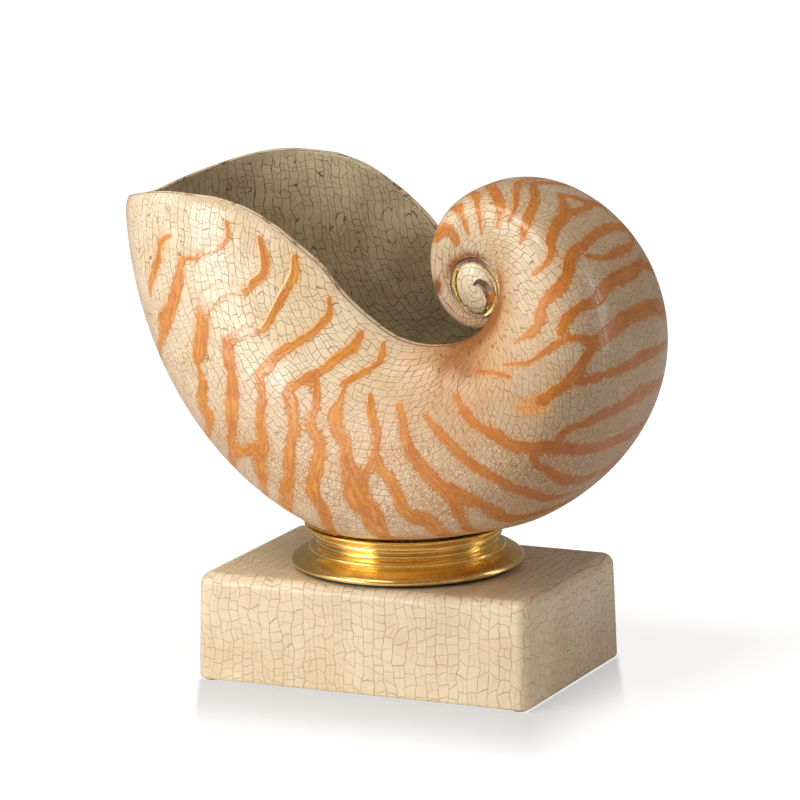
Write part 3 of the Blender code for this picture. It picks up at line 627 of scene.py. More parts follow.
class Recipe(Nodes):
    """A material. Sizes and distances in millimetres, but for the depths of bumps."""

    def __init__(self, name, **fixed):
        self.material = bpy.data.materials.new(name)
        self.material.use_nodes = True
        super().__init__(self.material.node_tree)
        self.shader = self.tree.nodes["Principled BSDF"]
        self.known = {}
        self.set(**fixed)

    def set(self, **inputs):
        for socket, value in inputs.items():
            self.feed(self.shader.inputs[socket.replace("_", " ")], value)

    def place(self):
        if "place" not in self.known:
            self.known["place"] = self.node("TexCoord", output="Object")
        return self.known["place"]

    def mark(self, name):
        if name not in self.known:
            self.known[name] = self.node("Attribute", {"attribute_name": name}, output="Fac")
        return self.known[name]

    def coats(self, ground, *coats):
        """The ground under coats of paint, each a share and a colour, laid one over the other."""
        for share, colour in coats:
            ground = self.mix(share, ground, colour)
        return ground

    def parts(self, vector):
        """The three parts of a vector."""
        first = self.node("SeparateXYZ", {}, {0: vector})
        return [Link(self, socket) for socket in first.socket.node.outputs]

    def join(self, x, y, z):
        return self.node("CombineXYZ", {}, {0: x, 1: y, 2: z})

    def scaled(self, vector, factors):
        return self.node("VectorMath", {"operation": "MULTIPLY"}, {0: vector, 1: factors})

    def shifted(self, vector, offset):
        return self.node("VectorMath", {"operation": "ADD"}, {0: vector, 1: offset})

    def noise(self, size, detail=2.0, roughness=0.5, at=None, output=0):
        """Noise of about 0 to 1 round 0.5, whose grains are about size across."""
        values = {
            "Vector": at or self.place(), "Scale": 1 / (size * MM), "Detail": detail,
            "Roughness": roughness,
        }
        return self.node("TexNoise", {}, values, output)

    def step(self, value, low, high):
        """0 below low and 1 above high, smooth between; falling where low is the greater."""
        values = {"Value": value, "From Min": low, "From Max": high}
        return self.node("MapRange", {"interpolation_type": "SMOOTHSTEP"}, values)

    def cloud(self, size, low, high):
        return self.step(self.noise(size, 3.0, 0.6), low, high)

    def span(self, value, low, high, to_low, to_high):
        """The value stretched from one range to another, and clamped to it."""
        values = {
            "Value": value, "From Min": low, "From Max": high, "To Min": to_low, "To Max": to_high,
        }
        return self.node("MapRange", {"interpolation_type": "LINEAR"}, values)

    def bump(self, height, distance, strength=1.0, after=None):
        values = {"Height": height, "Distance": distance, "Strength": strength}
        if after:
            values["Normal"] = after
        return self.node("Bump", {}, values)

    def wander(self, amount, size):
        """Object coordinates that wander by up to about amount, over distances of about size."""
        centred = self.shifted(self.noise(size, output="Color"), (-0.5, -0.5, -0.5))
        return self.shifted(self.place(), self.scaled(centred, (amount * MM,) * 3))

    def chance(self, first, second):
        """A number of chance from 0 to 1 for each pair of whole numbers."""
        pair = self.join(first, second, 0)
        return self.node("TexWhiteNoise", {"noise_dimensions": "2D"}, {0: pair})

    def often(self, chance):
        """1 for most chances, 0 for some, to make some cracks faint."""
        return self.step(chance, 0.1, 0.4)

    def crack(self, distance, width):
        """1 on a crack of that width, fading to 0 at its edges."""
        return self.step(distance, width / 2, width / 8)

    def cracks(self, vector, cell, width, randomness):
        """1 on the cracks between cells of about that size, fading to 0 at their edges."""
        values = {"Vector": vector, "Scale": 1 / (cell * MM), "Randomness": randomness}
        edge = self.node("TexVoronoi", {"feature": "DISTANCE_TO_EDGE"}, values, "Distance")
        return self.crack(edge * cell, width)


def crackle_rows(recipe, cell, width, row, along, shear):
    """Cracks along rows and short ones staggered between them, all wandering."""
    drift = recipe.parts(recipe.noise(cell * 5, 1.0, output="Color"))
    kink = recipe.parts(recipe.noise(cell * 1.5, 1.0, output="Color"))
    row_at = (row + (drift[0] - 0.5) * cell * 1.7 + (kink[0] - 0.5) * cell * 0.7) / cell + 0.5
    row_number = row_at.floor()
    off_row = row_at - row_number - 0.5
    chance = recipe.chance(row_number, 0.0)
    length = cell * (0.75 + chance * 0.45)
    along_at = along + (drift[1] - 0.5) * cell * 1.7 + (kink[1] - 0.5) * cell * 0.7
    along_at = along_at - off_row * cell * shear
    at = along_at / length + chance * 37
    piece = at.floor()
    # Each crack between two pieces leans its own way, and some are faint
    whole = (at + 0.5).floor()
    lean = (recipe.chance(row_number, whole + 0.3) - 0.5) * 0.9
    gap = abs(at - whole - off_row * lean) * length
    strength = 0.6 + recipe.often(recipe.chance(row_number, whole)) * 0.4
    pieces = recipe.crack(gap, width) * strength
    rows = recipe.crack((0.5 - abs(off_row)) * cell, width)
    rows = rows * (0.6 + recipe.often(recipe.chance(row_number + 0.5, piece)) * 0.4)
    # Some pieces are cracked once more
    middle = recipe.step(abs(off_row + (kink[2] - 0.5) * 0.6) * cell, width / 2.6, width / 10)
    halved = middle * recipe.step(recipe.chance(row_number + 0.7, piece), 0.66, 0.68) * 0.7
    depth = recipe.span(recipe.noise(cell * 2, 2.0, 0.6), 0.3, 0.7, 0.65, 1.0)
    return rows.most(pieces).most(halved) * depth


# Numbers kept at the vertices of the glazed pieces, and those of places far from any stroke
GLAZE_MARKS = (
    "inside", "row", "along", "shear", "stroke_offset", "stroke_half", "stroke_beyond",
    "stroke_pale_sheen", "stroke_lit", "mouth_painted_shade", "smear", "blush", "painted_shade", "fine", "gilt", "soot",
)
BARE = {"stroke_offset": 5.0, "stroke_half": 1.0, "stroke_beyond": 3.0}
# The size of noise over a vector that has its own units
OWN_UNITS = 1 / MM


def paint(red, green, blue):
    """A colour as linear numbers, from sRGB as an artist writes it."""
    return tuple(((part / 255 + 0.055) / 1.055) ** 2.4 for part in (red, green, blue))


CREAM = paint(232, 210, 172)
CREAM_PALE = paint(244, 229, 202)
PEACH = paint(208, 148, 92)
TAN_AND_SHADE = paint(158, 98, 40)
ORANGE = paint(231, 150, 52)
ORANGE_DEEP = paint(214, 128, 44)
ORANGE_BROWN = paint(168, 86, 22)
ORANGE_PALE = paint(246, 184, 104)
ORANGE_LIT = paint(252, 230, 176)
SALMON = paint(214, 126, 70)
PAINTED_SHADE = paint(154, 135, 104)
CRACK = paint(96, 72, 40)
EYE_BROWN = paint(150, 84, 12)
INNER = paint(206, 192, 160)
INNER_DEEP = paint(182, 164, 132)
INNER_SHADE = paint(120, 100, 72)
INNER_CRACK = paint(70, 54, 34)
LIP_LINE = paint(104, 70, 40)
GILT = (0.95, 0.68, 0.26)
DARK_BROWN = paint(92, 52, 14)
PLINTH = paint(230, 210, 176)
PLINTH_PALE = paint(240, 224, 194)
PLINTH_STAIN = paint(214, 184, 142)
PLINTH_CRACK = paint(132, 106, 70)
BRASS = (0.94, 0.68, 0.26)
BRASS_DEEP = (0.86, 0.56, 0.17)
BRASS_SPECK = paint(120, 72, 22)
ZINC = paint(176, 178, 180), paint(206, 206, 202)
RUBBER = paint(34, 33, 32), paint(56, 54, 52)
FELT = paint(84, 62, 46), paint(134, 106, 82)


def glaze_gloss(recipe, cracks, cell):
    """The wavy surface of a thick glaze, with its cracks just felt."""
    waves = recipe.bump(recipe.noise(cell * 6), 0.0009, 0.6)
    fine = recipe.bump(recipe.noise(cell * 0.25, 2.0, 0.6), 0.00004, 0.5, waves)
    return recipe.bump(1 - cracks, 0.00006, 0.7, fine)


def brown_round_eye(recipe):
    """How much dark brown lies round the eye: in rays over it, in a drop beside it and in short
    strokes under it."""
    step = recipe.step
    x, y, z = recipe.parts(recipe.shifted(recipe.place(), -EYE))
    from_eye = (x * x + z * z) ** 0.5 * 1000
    bearing = z.arctan2(x)
    rays = recipe.noise(OWN_UNITS, 2.0, 0.6, recipe.join(bearing * 9, from_eye * 0.15, y * 20))
    ragged = rays - 0.5
    over = step(abs(bearing - 2.0), 1.15, 0.55) * step(from_eye + ragged * 3.2, 14.0, 10.6)
    off_x, off_z = x - DROP[0], z - DROP[1]
    from_drop = (off_x * off_x + off_z * off_z * 0.3) ** 0.5 * 1000
    over = over.most(step(from_drop + ragged * 1.4, 2.6, 0.6))
    strokes = step((bearing * 64).sine() + ragged * 2.2, 0.1, 0.9)
    under = strokes * step(from_eye + ragged * 1.5, 12.2, 11.0) * step(bearing, -0.3, -0.8)
    return over.most(under * 0.7) * step(from_eye, 17.5, 16.5) * step(from_eye, 9.9, 10.6)


def shell_glaze():
    """Cream crackle glaze with painted stripes and painted shade outside, grey-beige in the mouth
    with painted shade deeper in, and gilding.
    """
    recipe = Recipe("crackle_glaze", IOR=1.5, Specular_IOR_Level=0.5)
    mark, noise, cloud, step = recipe.mark, recipe.noise, recipe.cloud, recipe.step
    fine = mark("fine") * cloud(12, 0.3, 0.55)
    rows = (mark("row"), mark("along"), mark("shear"))
    coarse_cracks = crackle_rows(recipe, SHELL_CELL, SHELL_CRACK, *rows)
    small = recipe.cracks(recipe.wander(0.6, 1.6), 1.5, 0.36, 0.9)
    cracks = (coarse_cracks * (1 - fine * 0.25)).most(small * fine * 0.4)
    inside, painted_shade = mark("inside"), mark("painted_shade")

    # Painted stripes: how far beyond its ragged edge a place lies, and where the paint is thin
    brush = noise(2.0, 3.0, 0.6, recipe.wander(1.2, 2.5))
    drift = noise(0.6, 2.0, 0.6)
    offset, half = mark("stroke_offset"), mark("stroke_half")
    across = offset / half
    ragged = (brush - 0.5) * 2.6 + (noise(5) - 0.5) * 2.4
    ragged = ragged + (drift - 0.5) * recipe.span(fine, 0, 1, 0.8, 3.2)
    beyond = abs(offset) - half + ragged * recipe.span(half, 0.3, 1.6, 0.25, 1.0)
    near = step(mark("stroke_beyond"), 0.95, 0.5)
    thin = step(noise(3.2, 3.0, 0.65), 0.60, 0.74) * recipe.span(fine, 0, 1, 0.25, 0.6)
    painted = step(beyond, 0.45, -0.45) * near * (1 - thin)
    # A painted highlight along one raised edge of the lit strokes
    lit = step(abs(across - 0.92), 0.24, 0.08) * near * mark("stroke_lit")
    tone = noise(8, 3.0, 0.55)
    streaks = noise(OWN_UNITS, 3.0, 0.65, recipe.join(across * 2.2, mark("along") * 0.12, 0))
    orange = recipe.coats(
        ORANGE,
        (step(tone, 0.35, 0.7), ORANGE_DEEP),
        (step(streaks, 0.42, 0.66) * 0.5, ORANGE_BROWN),
        (step(streaks, 0.48, 0.3) * 0.45, ORANGE_PALE),
        (step(beyond, -0.5, -0.05) * 0.15, ORANGE_BROWN),
        # pale paint on some strokes, partly a painted highlight on their raised paint
        (step(mark("stroke_pale_sheen"), 0.0, 1.0) * 0.8, CREAM_PALE),
        # painted shade: the stripes browner to the right and below the pole
        (painted_shade * 0.95, ORANGE_BROWN),
    )

    # Cream ground with painted shade, a peach blush deepened to tan partly as painted shade, a
    # faint stain round the stripes and speckles
    blush = mark("blush") * recipe.span(tone, 0.3, 0.7, 0.7, 1.15)
    smeared = step(mark("smear") + (tone - 0.5) * 0.6 + (brush - 0.5) * 0.5, 0.25, 0.9)
    speck = noise(0.7, 3.0, 0.7)
    eye_brown = brown_round_eye(recipe)
    outside = recipe.coats(
        CREAM,
        (cloud(14, 0.3, 0.7), CREAM_PALE),
        # painted shade over the ground to the right and below the pole
        (painted_shade, PAINTED_SHADE),
        (blush, PEACH),
        # tan where the blush is strongest, under the mouth: brown paint and painted shade
        (step(mark("blush") + (tone - 0.5) * 0.4, 0.66, 1.15), TAN_AND_SHADE),
        (smeared * 0.75, ORANGE),
        (step(mark("stroke_beyond") + (brush - 0.5) * 1.5, 2.2, 0.0) * 0.3, ORANGE),
        (step(speck, 0.50, 0.62) * fine * 0.8, SALMON),
        (step(speck, 0.47, 0.36) * fine * 0.8, CREAM_PALE),
        (painted * 0.92, orange),
        (cracks * recipe.span(painted, 0, 1, 0.84, 0.42), CRACK),
        # painted highlight on the lit strokes' edge
        (lit * 0.85, ORANGE_LIT),
        (eye_brown * 0.95, EYE_BROWN),
    )
    mouth = recipe.coats(
        INNER,
        (cloud(20, 0.3, 0.7), INNER_DEEP),
        # painted shade, deeper down in the mouth
        (step(mark("mouth_painted_shade"), 0.0, 1.0) * 0.4, INNER_SHADE),
        (coarse_cracks * 0.9, INNER_CRACK),
    )

    # Thin brown lines along the lip's edge, dark brown in and along the eye's groove, and gilding
    # over all
    lines = step(abs(inside - 0.14), 0.09, 0.03).most(step(abs(inside - 0.84), 0.10, 0.04))
    worn = noise(1.1, 3.0, 0.65)
    gilt = step(mark("gilt") + (worn - 0.5) * 0.3, 0.4, 0.6)
    colour = recipe.coats(
        outside,
        (step(inside, 0.4, 0.7), mouth),
        (lines * 0.7, LIP_LINE),
        (mark("soot") * 0.9, DARK_BROWN),
        (gilt, recipe.mix(step(worn, 0.62, 0.74) * 0.5, GILT, DARK_BROWN)),
    )
    roughness = 0.12 + (drift - 0.5) * 0.05 + cracks * 0.15 + fine * 0.1
    waves = glaze_gloss(recipe, cracks, SHELL_CELL)
    recipe.set(
        Base_Color=colour,
        Metallic=gilt,
        Roughness=roughness + blush * 0.42 + eye_brown * 0.3,
        Normal=recipe.bump(painted + lit * 0.4, 0.00018, 0.8, waves),
    )
    return recipe.material


def plinth_glaze():
    """Cream crackle glaze, whose rows of cracks run on round each face of the plinth."""
    recipe = Recipe("plinth_glaze", IOR=1.5, Specular_IOR_Level=0.45)
    centred = recipe.shifted(recipe.place(), -PLINTH_MIDDLE)
    x, y, z = recipe.parts(recipe.scaled(centred, (1000, 1000, 1000)))
    top = z.above(PLINTH_HALF.z / MM - 1.2)
    end = abs(x).above(PLINTH_HALF.x / MM - 1.5)
    row = top * x + (1 - top) * (end * y + (1 - end) * x)
    along = top * y + (1 - top) * z + end * 50 + top * 90
    width = recipe.span(top, 0, 1, *PLINTH_CRACKS)
    cracks = crackle_rows(recipe, PLINTH_CELL, width, row, along, 0.0)
    colour = recipe.coats(
        PLINTH,
        (recipe.cloud(18, 0.3, 0.7), PLINTH_PALE),
        (recipe.cloud(6, 0.5, 0.75) * 0.18, PLINTH_STAIN),
        (cracks * 0.68, PLINTH_CRACK),
    )
    recipe.set(
        Base_Color=colour,
        Roughness=0.24 + cracks * 0.2,
        Normal=glaze_gloss(recipe, cracks, PLINTH_CELL),
    )
    return recipe.material


def brass():
    """Gilt brass, brushed round the axis of the collar, with small dark specks."""
    recipe = Recipe("gilt_brass", Metallic=1.0)
    x, y, z = recipe.parts(recipe.shifted(recipe.place(), -SEAT))
    lathe = recipe.join((x * x + y * y) ** 0.5 * 6, y.arctan2(x) * 0.012, z * 6)
    rings = recipe.noise(2.2, 3.0, 0.65, lathe)
    cloud = recipe.noise(7, 3.0, 0.6)
    specks = recipe.step(recipe.noise(1.0, 3.0, 0.7), 0.66, 0.76)
    waves = recipe.bump(recipe.noise(12), 0.0006, 0.3)
    brushed = recipe.bump(rings, 0.00004, 0.6, waves)
    coats = (recipe.step(cloud, 0.35, 0.7), BRASS_DEEP), (specks * 0.3, BRASS_SPECK)
    recipe.set(
        Base_Color=recipe.coats(BRASS, *coats),
        Roughness=recipe.span(cloud, 0.3, 0.7, 0.2, 0.3) + (rings - 0.5) * 0.12,
        Normal=recipe.bump(specks, 0.00005, 0.4, brushed),
    )
    return recipe.material


def steel():
    recipe = Recipe("zinc_steel", Metallic=1.0)
    cloud = recipe.noise(3, 3.0, 0.6)
    scratch = recipe.noise(1.5, 3.0, 0.7, recipe.scaled(recipe.place(), (1, 6, 1)))
    recipe.set(
        Base_Color=recipe.mix(cloud, *ZINC),
        Roughness=recipe.span(cloud, 0.3, 0.7, 0.28, 0.42),
        Normal=recipe.bump(scratch, 0.00003, 0.5),
    )
    return recipe.material


def rubber():
    recipe = Recipe("black_rubber", IOR=1.5)
    grain = recipe.noise(0.5, 3.0, 0.7)
    recipe.set(
        Base_Color=recipe.mix(grain, *RUBBER),
        Roughness=recipe.span(grain, 0.3, 0.7, 0.65, 0.85),
        Normal=recipe.bump(grain, 0.00005, 0.6),
    )
    return recipe.material


def felt():
    recipe = Recipe("brown_felt", Sheen_Weight=0.6, Sheen_Roughness=0.5)
    fibres = recipe.noise(0.35, 4.0, 0.75, recipe.scaled(recipe.place(), (1, 1, 3)))
    recipe.set(
        Base_Color=recipe.mix(fibres, *FELT),
        Roughness=recipe.span(fibres, 0.3, 0.7, 0.85, 1.0),
        Normal=recipe.bump(fibres, 0.00025, 0.8),
    )
    return recipe.material


def stroke_samples(stroke, side, sway):
    """Close points along a brush stroke on one side of the shell, with half its width at each."""
    turn, s, width = np.array(stroke, float).T
    s = s / 1000
    at = np.arange(len(stroke), dtype=float)
    fine = np.linspace(0, at[-1], 1 + 14 * (len(stroke) - 1))
    smooth = [smooth_through(list(zip(at, values)))(fine) for values in (turn, s)]
    across = np.clip(smooth[1], 0, 0.995)
    turns = smooth[0] + sway * across
    points = shell_surface(turns, across, np.full_like(turns, side), GLAZE_INSET)
    return points, np.maximum(np.interp(fine, at, width) * STROKE_SPREAD, 0.5) * MM / 2


def paint_strokes(verts, normals, marks):
    """Each vertex near a stroke gets its signed distance from the stroke's middle, half the width
    there and how far it lies beyond the edge, in millimetres, and what kind of stroke it is."""
    tree = kdtree.KDTree(len(verts))
    for index, vert in enumerate(verts):
        for mark, value in BARE.items():
            vert[marks[mark]] = value
        tree.insert(vert.co, index)
    tree.balance()
    kinds = [(stroke, "") for stroke in STRIPES]
    kinds += [(stroke, "stroke_pale_sheen") for stroke in PALE_SHEEN_STRIPES]
    kinds += [(stroke, "stroke_lit") for stroke in LIT_STRIPES]
    for number, (stroke, kind) in enumerate(kinds):
        for side in (-1, 1):
            sway = 0.0 if side < 0 else FAR_SWAY * math.sin(number * 2.4)
            swell = 1.0 if side < 0 else 1 + FAR_SWELL * math.sin(number * 1.7)
            points, half_widths = stroke_samples(stroke, side, sway)
            steps = np.linalg.norm(np.diff(points, axis=0), axis=1)
            lengths = np.concatenate([[0], np.cumsum(steps)])
            for i in range(len(points) - 1):
                start, end = Vector(points[i]), Vector(points[i + 1])
                run = end - start
                if run.length < 1e-6:
                    continue
                half = swell * (half_widths[i] + half_widths[i + 1]) / 2
                left = lengths[-1] - lengths[i]
                strength = min(1.0, lengths[i] / PALE_FADES[0], left / PALE_FADES[1])
                reach = half + STROKE_REACH + run.length / 2
                for place, index, _ in tree.find_range((start + end) / 2, reach):
                    share = min(1.0, max(0.0, (place - start).dot(run) / run.length_squared))
                    offset = place - (start + run * share)
                    beyond = (offset.length - half) / MM
                    vert = verts[index]
                    if beyond < vert[marks["stroke_beyond"]]:
                        turned = -side * run.cross(offset).dot(normals[index])
                        vert[marks["stroke_beyond"]] = beyond
                        vert[marks["stroke_offset"]] = math.copysign(offset.length / MM, turned)
                        vert[marks["stroke_half"]] = half / MM
                        vert[marks["stroke_pale_sheen"]] = vert[marks["stroke_lit"]] = 0.0
                        if kind:
                            vert[marks[kind]] = strength if kind == "stroke_pale_sheen" else 1.0


def coil_spots(along, across):
    """(turn, s, side) on the coil inside the cavity's start, from places of 0 to 1."""
    across = across * 2 - 1
    turn = COIL_START + (CAVITY_START - COIL_START) * along
    return turn, np.interp(np.abs(across), EVEN_LENGTH, EVEN_PLACE), np.where(across < 0, -1.0, 1.0)


def wall_spots(along, across):
    return lip_spots(along, across * 2 - 1)


def roll_edge(sculpt):
    """The free edge, from one eye round the lip to the other, rolled from outer to inner wall."""
    rises = np.linspace(0, 1, LIP_STEPS + 1)
    spans = np.linspace(-1, 1, ACROSS_STEPS + 1)
    along = np.concatenate([rises[:-1], np.ones(ACROSS_STEPS + 1), rises[:-1][::-1]])
    across = np.concatenate([-np.ones(LIP_STEPS), spans, np.ones(LIP_STEPS)])
    first, last = outer_wall(along, across), inner_wall(along, across)
    ahead = np.cross(np.gradient(first, axis=0), first - last)
    ahead /= np.linalg.norm(ahead, axis=1, keepdims=True)
    thick = np.linalg.norm(first - last, axis=1, keepdims=True)

    def rolled(run, share):
        i = np.rint(run * (len(along) - 1)).astype(int)
        angle = (share * math.pi)[:, None]
        middle = (first[i] + last[i]) / 2
        bulge = ahead[i] * thick[i] * EDGE_ROUND * np.sin(angle)
        return middle + (first[i] - last[i]) / 2 * np.cos(angle) + bulge

    sculpt.grid(len(along) - 1, EDGE_STEPS, rolled, inside=lambda run, share: share)


def make_shell(material):
    sculpt = Sculpt(*GLAZE_MARKS)
    bm = sculpt.bm

    def coil(along, across):
        return shell_surface(*coil_spots(along, across), GLAZE_INSET)

    def outside(along, across):
        return outer_wall(along, across * 2 - 1)

    def inside(along, across):
        return inner_wall(along, across * 2 - 1)

    inner_marks = crackle_marks(wall_spots, INNER_CRACKLE)
    sculpt.grid(COIL_STEPS, ACROSS_STEPS, coil, **crackle_marks(coil_spots))
    sculpt.grid(LIP_STEPS, ACROSS_STEPS, outside, **crackle_marks(wall_spots))
    sculpt.grid(LIP_STEPS, ACROSS_STEPS, inside, inside=1.0, **inner_marks)
    roll_edge(sculpt)
    bmesh.ops.remove_doubles(bm, verts=bm.verts, dist=1e-6)
    bmesh.ops.holes_fill(bm, edges=[edge for edge in bm.edges if edge.is_boundary], sides=0)
    bmesh.ops.recalc_face_normals(bm, faces=bm.faces)

    verts = [vert for vert in bm.verts if vert[sculpt.marks["inside"]] < 0.5]
    paint_strokes(verts, [vert.normal.copy() for vert in verts], sculpt.marks)
    shade_marks(bm, sculpt.marks)
    piece = sculpt.finish("nautilus_shell", material)
    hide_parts("shell_body")
    return piece


def rising(value, low, high):
    """0 at low, 1 at high, even between and clamped; low may be the greater."""
    return min(1.0, max(0.0, (value - low) / (high - low)))


def near(distance, size):
    """1 at no distance, falling off over about that size."""
    return math.exp(-((distance / size) ** 2))


def shade_marks(bm, marks):
    """Where the glaze blushes, gets a painted shade, is smeared or finely crackled, and where it's
    gilded.
    """
    dip = Vector(around_pole(*(np.array(number) for number in DIP_PLACE)))
    for vert in bm.verts:
        spot = Vector((vert.co.x, abs(vert.co.y), vert.co.z))
        near_dip = near((spot - dip).length, DIP_SIZE)
        bearing = math.atan2(spot.z - EYE.z, spot.x - EYE.x)
        from_eye = math.hypot(spot.x - EYE.x, spot.z - EYE.z)
        beside_eye = near(from_eye - EYE_BLUSH[0], EYE_BLUSH[1]) * max(0.0, math.cos(bearing + 0.2))
        above_keel = spot.z > POLE.z + KEEL_LIMIT or spot.x > POLE.x
        keel = near(spot.y, KEEL_BLUSH[0]) * KEEL_BLUSH[1 if above_keel else 2]
        belly = rising(spot.z, *FINE_BELLY_Z)
        below = rising(spot.z - POLE.z, *SHADE_UNDER_POLE)
        blush = 0.08 + 1.05 * near_dip + 0.8 * beside_eye + keel + 0.2 * belly
        front = rising(spot.x, *FINE_FRONT_X) * rising(spot.z, *FINE_FRONT_Z)
        back = rising(spot.x, *FINE_BACK_X)
        # Painted shade, darker to the right and more so below the pole
        vert[marks["painted_shade"]] = rising(spot.x, *SHADE_X) * (0.45 + 0.55 * below)
        vert[marks["blush"]] = min(BLUSH_MOST, blush)
        vert[marks["fine"]] = max(belly, front, 0.7 * back) * (1 - near_dip)
        # Painted shade in the mouth, growing from its top down
        vert[marks["mouth_painted_shade"]] = rising(spot.z, *MOUTH_DEPTH_Z)
        if vert.co.y < 0:
            smear_x = near(spot.x - SMEAR[0], SMEAR_SIZE[0])
            vert[marks["smear"]] = smear_x * near(spot.z - SMEAR[1], SMEAR_SIZE[1])
        # Gilding low on the belly by the collar's rim: a gilt band, partly a painted reflection of
        # the collar
        low = max(0.0, 1 - (spot.z - BELLY_FLAT) / RIM_GILT_AND_REFLECTION[1])
        if low > 0 and vert[marks["inside"]] < 0.5:
            vert[marks["gilt"]] = RIM_GILT_AND_REFLECTION[0] * low


def eye_groove():
    """Close samples along the eye's groove: place from its middle, half width and gilding."""
    x, z, width, gilt = np.array(EYE_GROOVE).T
    at = np.arange(len(x), dtype=float)
    fine = np.linspace(0, at[-1], GROOVE_SAMPLES)
    places = np.stack([smooth_through(list(zip(at, part)))(fine) for part in (x, z)], -1) * MM
    return places, np.interp(fine, at, width) * MM / 2, np.interp(fine, at, gilt)


def eye_relief(x, z):
    """Height of the eye's face over its middle level at places in it, with its gilding and its dark
    brown.
    """
    places, half_widths, gilts = eye_groove()
    gap = np.hypot(x[:, None] - places[:, 0], z[:, None] - places[:, 1])
    nearest = (gap / half_widths).argmin(axis=1)
    across = gap[np.arange(len(x)), nearest] / half_widths[nearest]
    gilded = gilts[nearest]
    lean = math.radians(EYE_TILT)
    wide = (x * math.cos(lean) + z * math.sin(lean)) / EYE_DOME[0] / MM
    tall = (z * math.cos(lean) - x * math.sin(lean)) / EYE_DOME[1] / MM
    dome = np.clip(1 - wide**2 - tall**2, 0, 1)
    height = EYE_RISE * np.sqrt(dome + 0.02) + EYE_SLOPE[1] * z + EYE_SLOPE[0] * x
    depth = np.minimum(half_widths[nearest] * 0.75, GROOVE_DEPTH)
    height -= depth * np.exp(-((across * 0.85) ** 4))
    height += GROOVE_LIP * np.exp(-(((across - 1.6) / 0.5) ** 2))
    worn = np.clip((1.1 - across) / 0.2, 0, 1)
    edge = np.exp(-(((across - 1.25) / 0.25) ** 2))
    return height, worn * gilded, np.maximum(worn * (1 - gilded), 0.75 * edge)


def make_eye(side, name, material):
    """The domed eye in the middle of the coil on one side, closed behind inside the shell."""
    sculpt = Sculpt(*GLAZE_MARKS)
    width, height = EYE_OVAL

    def reach(angle):
        turn = 180 - (np.degrees(angle) + EYE_TURN) % 360 + EYE_TURN
        hidden = EYE_RADIUS + EYE_RADIUS_GROWTH * (turn - 180) / 360 + EYE_OVERLAP
        oval = width * height / np.hypot(height * np.cos(angle), width * np.sin(angle))
        return np.maximum(hidden, oval)

    def spot(out, around):
        """Places from the eye's middle, from shares of the way out and round."""
        angle = around * math.tau
        radius = out * reach(angle)
        return radius * np.cos(angle), radius * np.sin(angle)

    def face_spot(out, around):
        return spot(np.minimum(out * EYE_STRETCH, 1), around)

    def placed(x, y, z):
        return np.stack([EYE.x + x, side * y, EYE.z + z], axis=-1)

    def level(out, around):
        tuck = np.clip((out * EYE_STRETCH - 0.94) / 0.1, 0, 1) ** 2 * EYE_TUCK
        return EYE_FACE + eye_relief(*face_spot(out, around))[0] - tuck

    def face(out, around):
        x, z = face_spot(out, around)
        return placed(x, level(out, around), z)

    def back(out, around):
        x, z = spot(out, around)
        return placed(x, np.where(out > 0.99, level(np.ones_like(out), around), EYE_BACK), z)

    def mark(which):
        return lambda out, around: eye_relief(*face_spot(out, around))[which]

    def from_middle(out, around):
        return np.hypot(*face_spot(out, around)) / MM

    rings = {
        "row": from_middle,
        "along": lambda out, around: from_middle(out, around) * around * math.tau,
        "shear": lambda out, around: around * math.tau,
    }
    sculpt.grid(EYE_RINGS, EYE_STEPS, face, gilt=mark(1), soot=mark(2), blush=0.0, **BARE, **rings)
    sculpt.grid(3, EYE_STEPS, back, **BARE)
    bmesh.ops.remove_doubles(sculpt.bm, verts=sculpt.bm.verts, dist=1e-6)
    piece = sculpt.finish(name, material)


def make_base(material, shell):
    """The base that flares from the collar's rim into the belly."""
    tree = BVHTree.FromObject(shell, bpy.context.evaluated_depsgraph_get())
    sculpt = Sculpt(*GLAZE_MARKS)
    spread = RIM_RADIUS + BASE_SPREAD
    rows = [(radius, WALL) for radius in np.linspace(0, spread, 8)]
    rows += [(RIM_RADIUS + BASE_SPREAD * share, WALL * share**BASE_CURVE) for share in BASE_FLARE]
    rows += [(RIM_RADIUS, 0.0), (SPIGOT_RADIUS, 0.0)]
    spigot_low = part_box("shell_gasket")[1][2] + SPIGOT_GAP
    profile = [(radius, BASE_LOW + rise) for radius, rise in rows]
    profile += [(SPIGOT_RADIUS, spigot_low), (0.0, spigot_low)]
    sculpt.turned(profile, BASE_STEPS)
    bmesh.ops.translate(sculpt.bm, verts=sculpt.bm.verts, vec=SEAT)
    for vert in sculpt.bm.verts:
        share = (vert.co.z - BASE_LOW) / WALL
        bearing = math.atan2(vert.co.y, vert.co.x - SEAT.x)
        radius = math.hypot(vert.co.y, vert.co.x - SEAT.x) / MM
        marks = {
            "row": radius + vert.co.z / MM, "along": radius * bearing, "shear": bearing,
            "gilt": BASE_GILT, **BARE,
        }
        for name, value in marks.items():
            vert[sculpt.marks[name]] = value
        if share > 1e-4:
            belly = tree.ray_cast(Vector((vert.co.x, vert.co.y, 0)), Vector((0, 0, 1)))[0]
            if belly:
                vert.co.z = BASE_LOW + (belly.z + WALL / 2 - BASE_LOW) * share
    piece = sculpt.finish("shell_base", material, 35)


def rounded(points, radius, steps=4):
    """A profile with each inner corner rounded by up to the radius."""
    result = [points[0]]
    for before, corner, after in zip(points, points[1:], points[2:]):
        corner, before, after = Vector(corner), Vector(before), Vector(after)
        reach = min(radius, (before - corner).length * 0.45, (after - corner).length * 0.45)
        start = corner + (before - corner).normalized() * reach
        end = corner + (after - corner).normalized() * reach
        for share in np.linspace(0, 1, steps + 1):
            point = start.lerp(corner, share).lerp(corner.lerp(end, share), share)
            result.append((point.x, point.y))
    return result + [points[-1]]


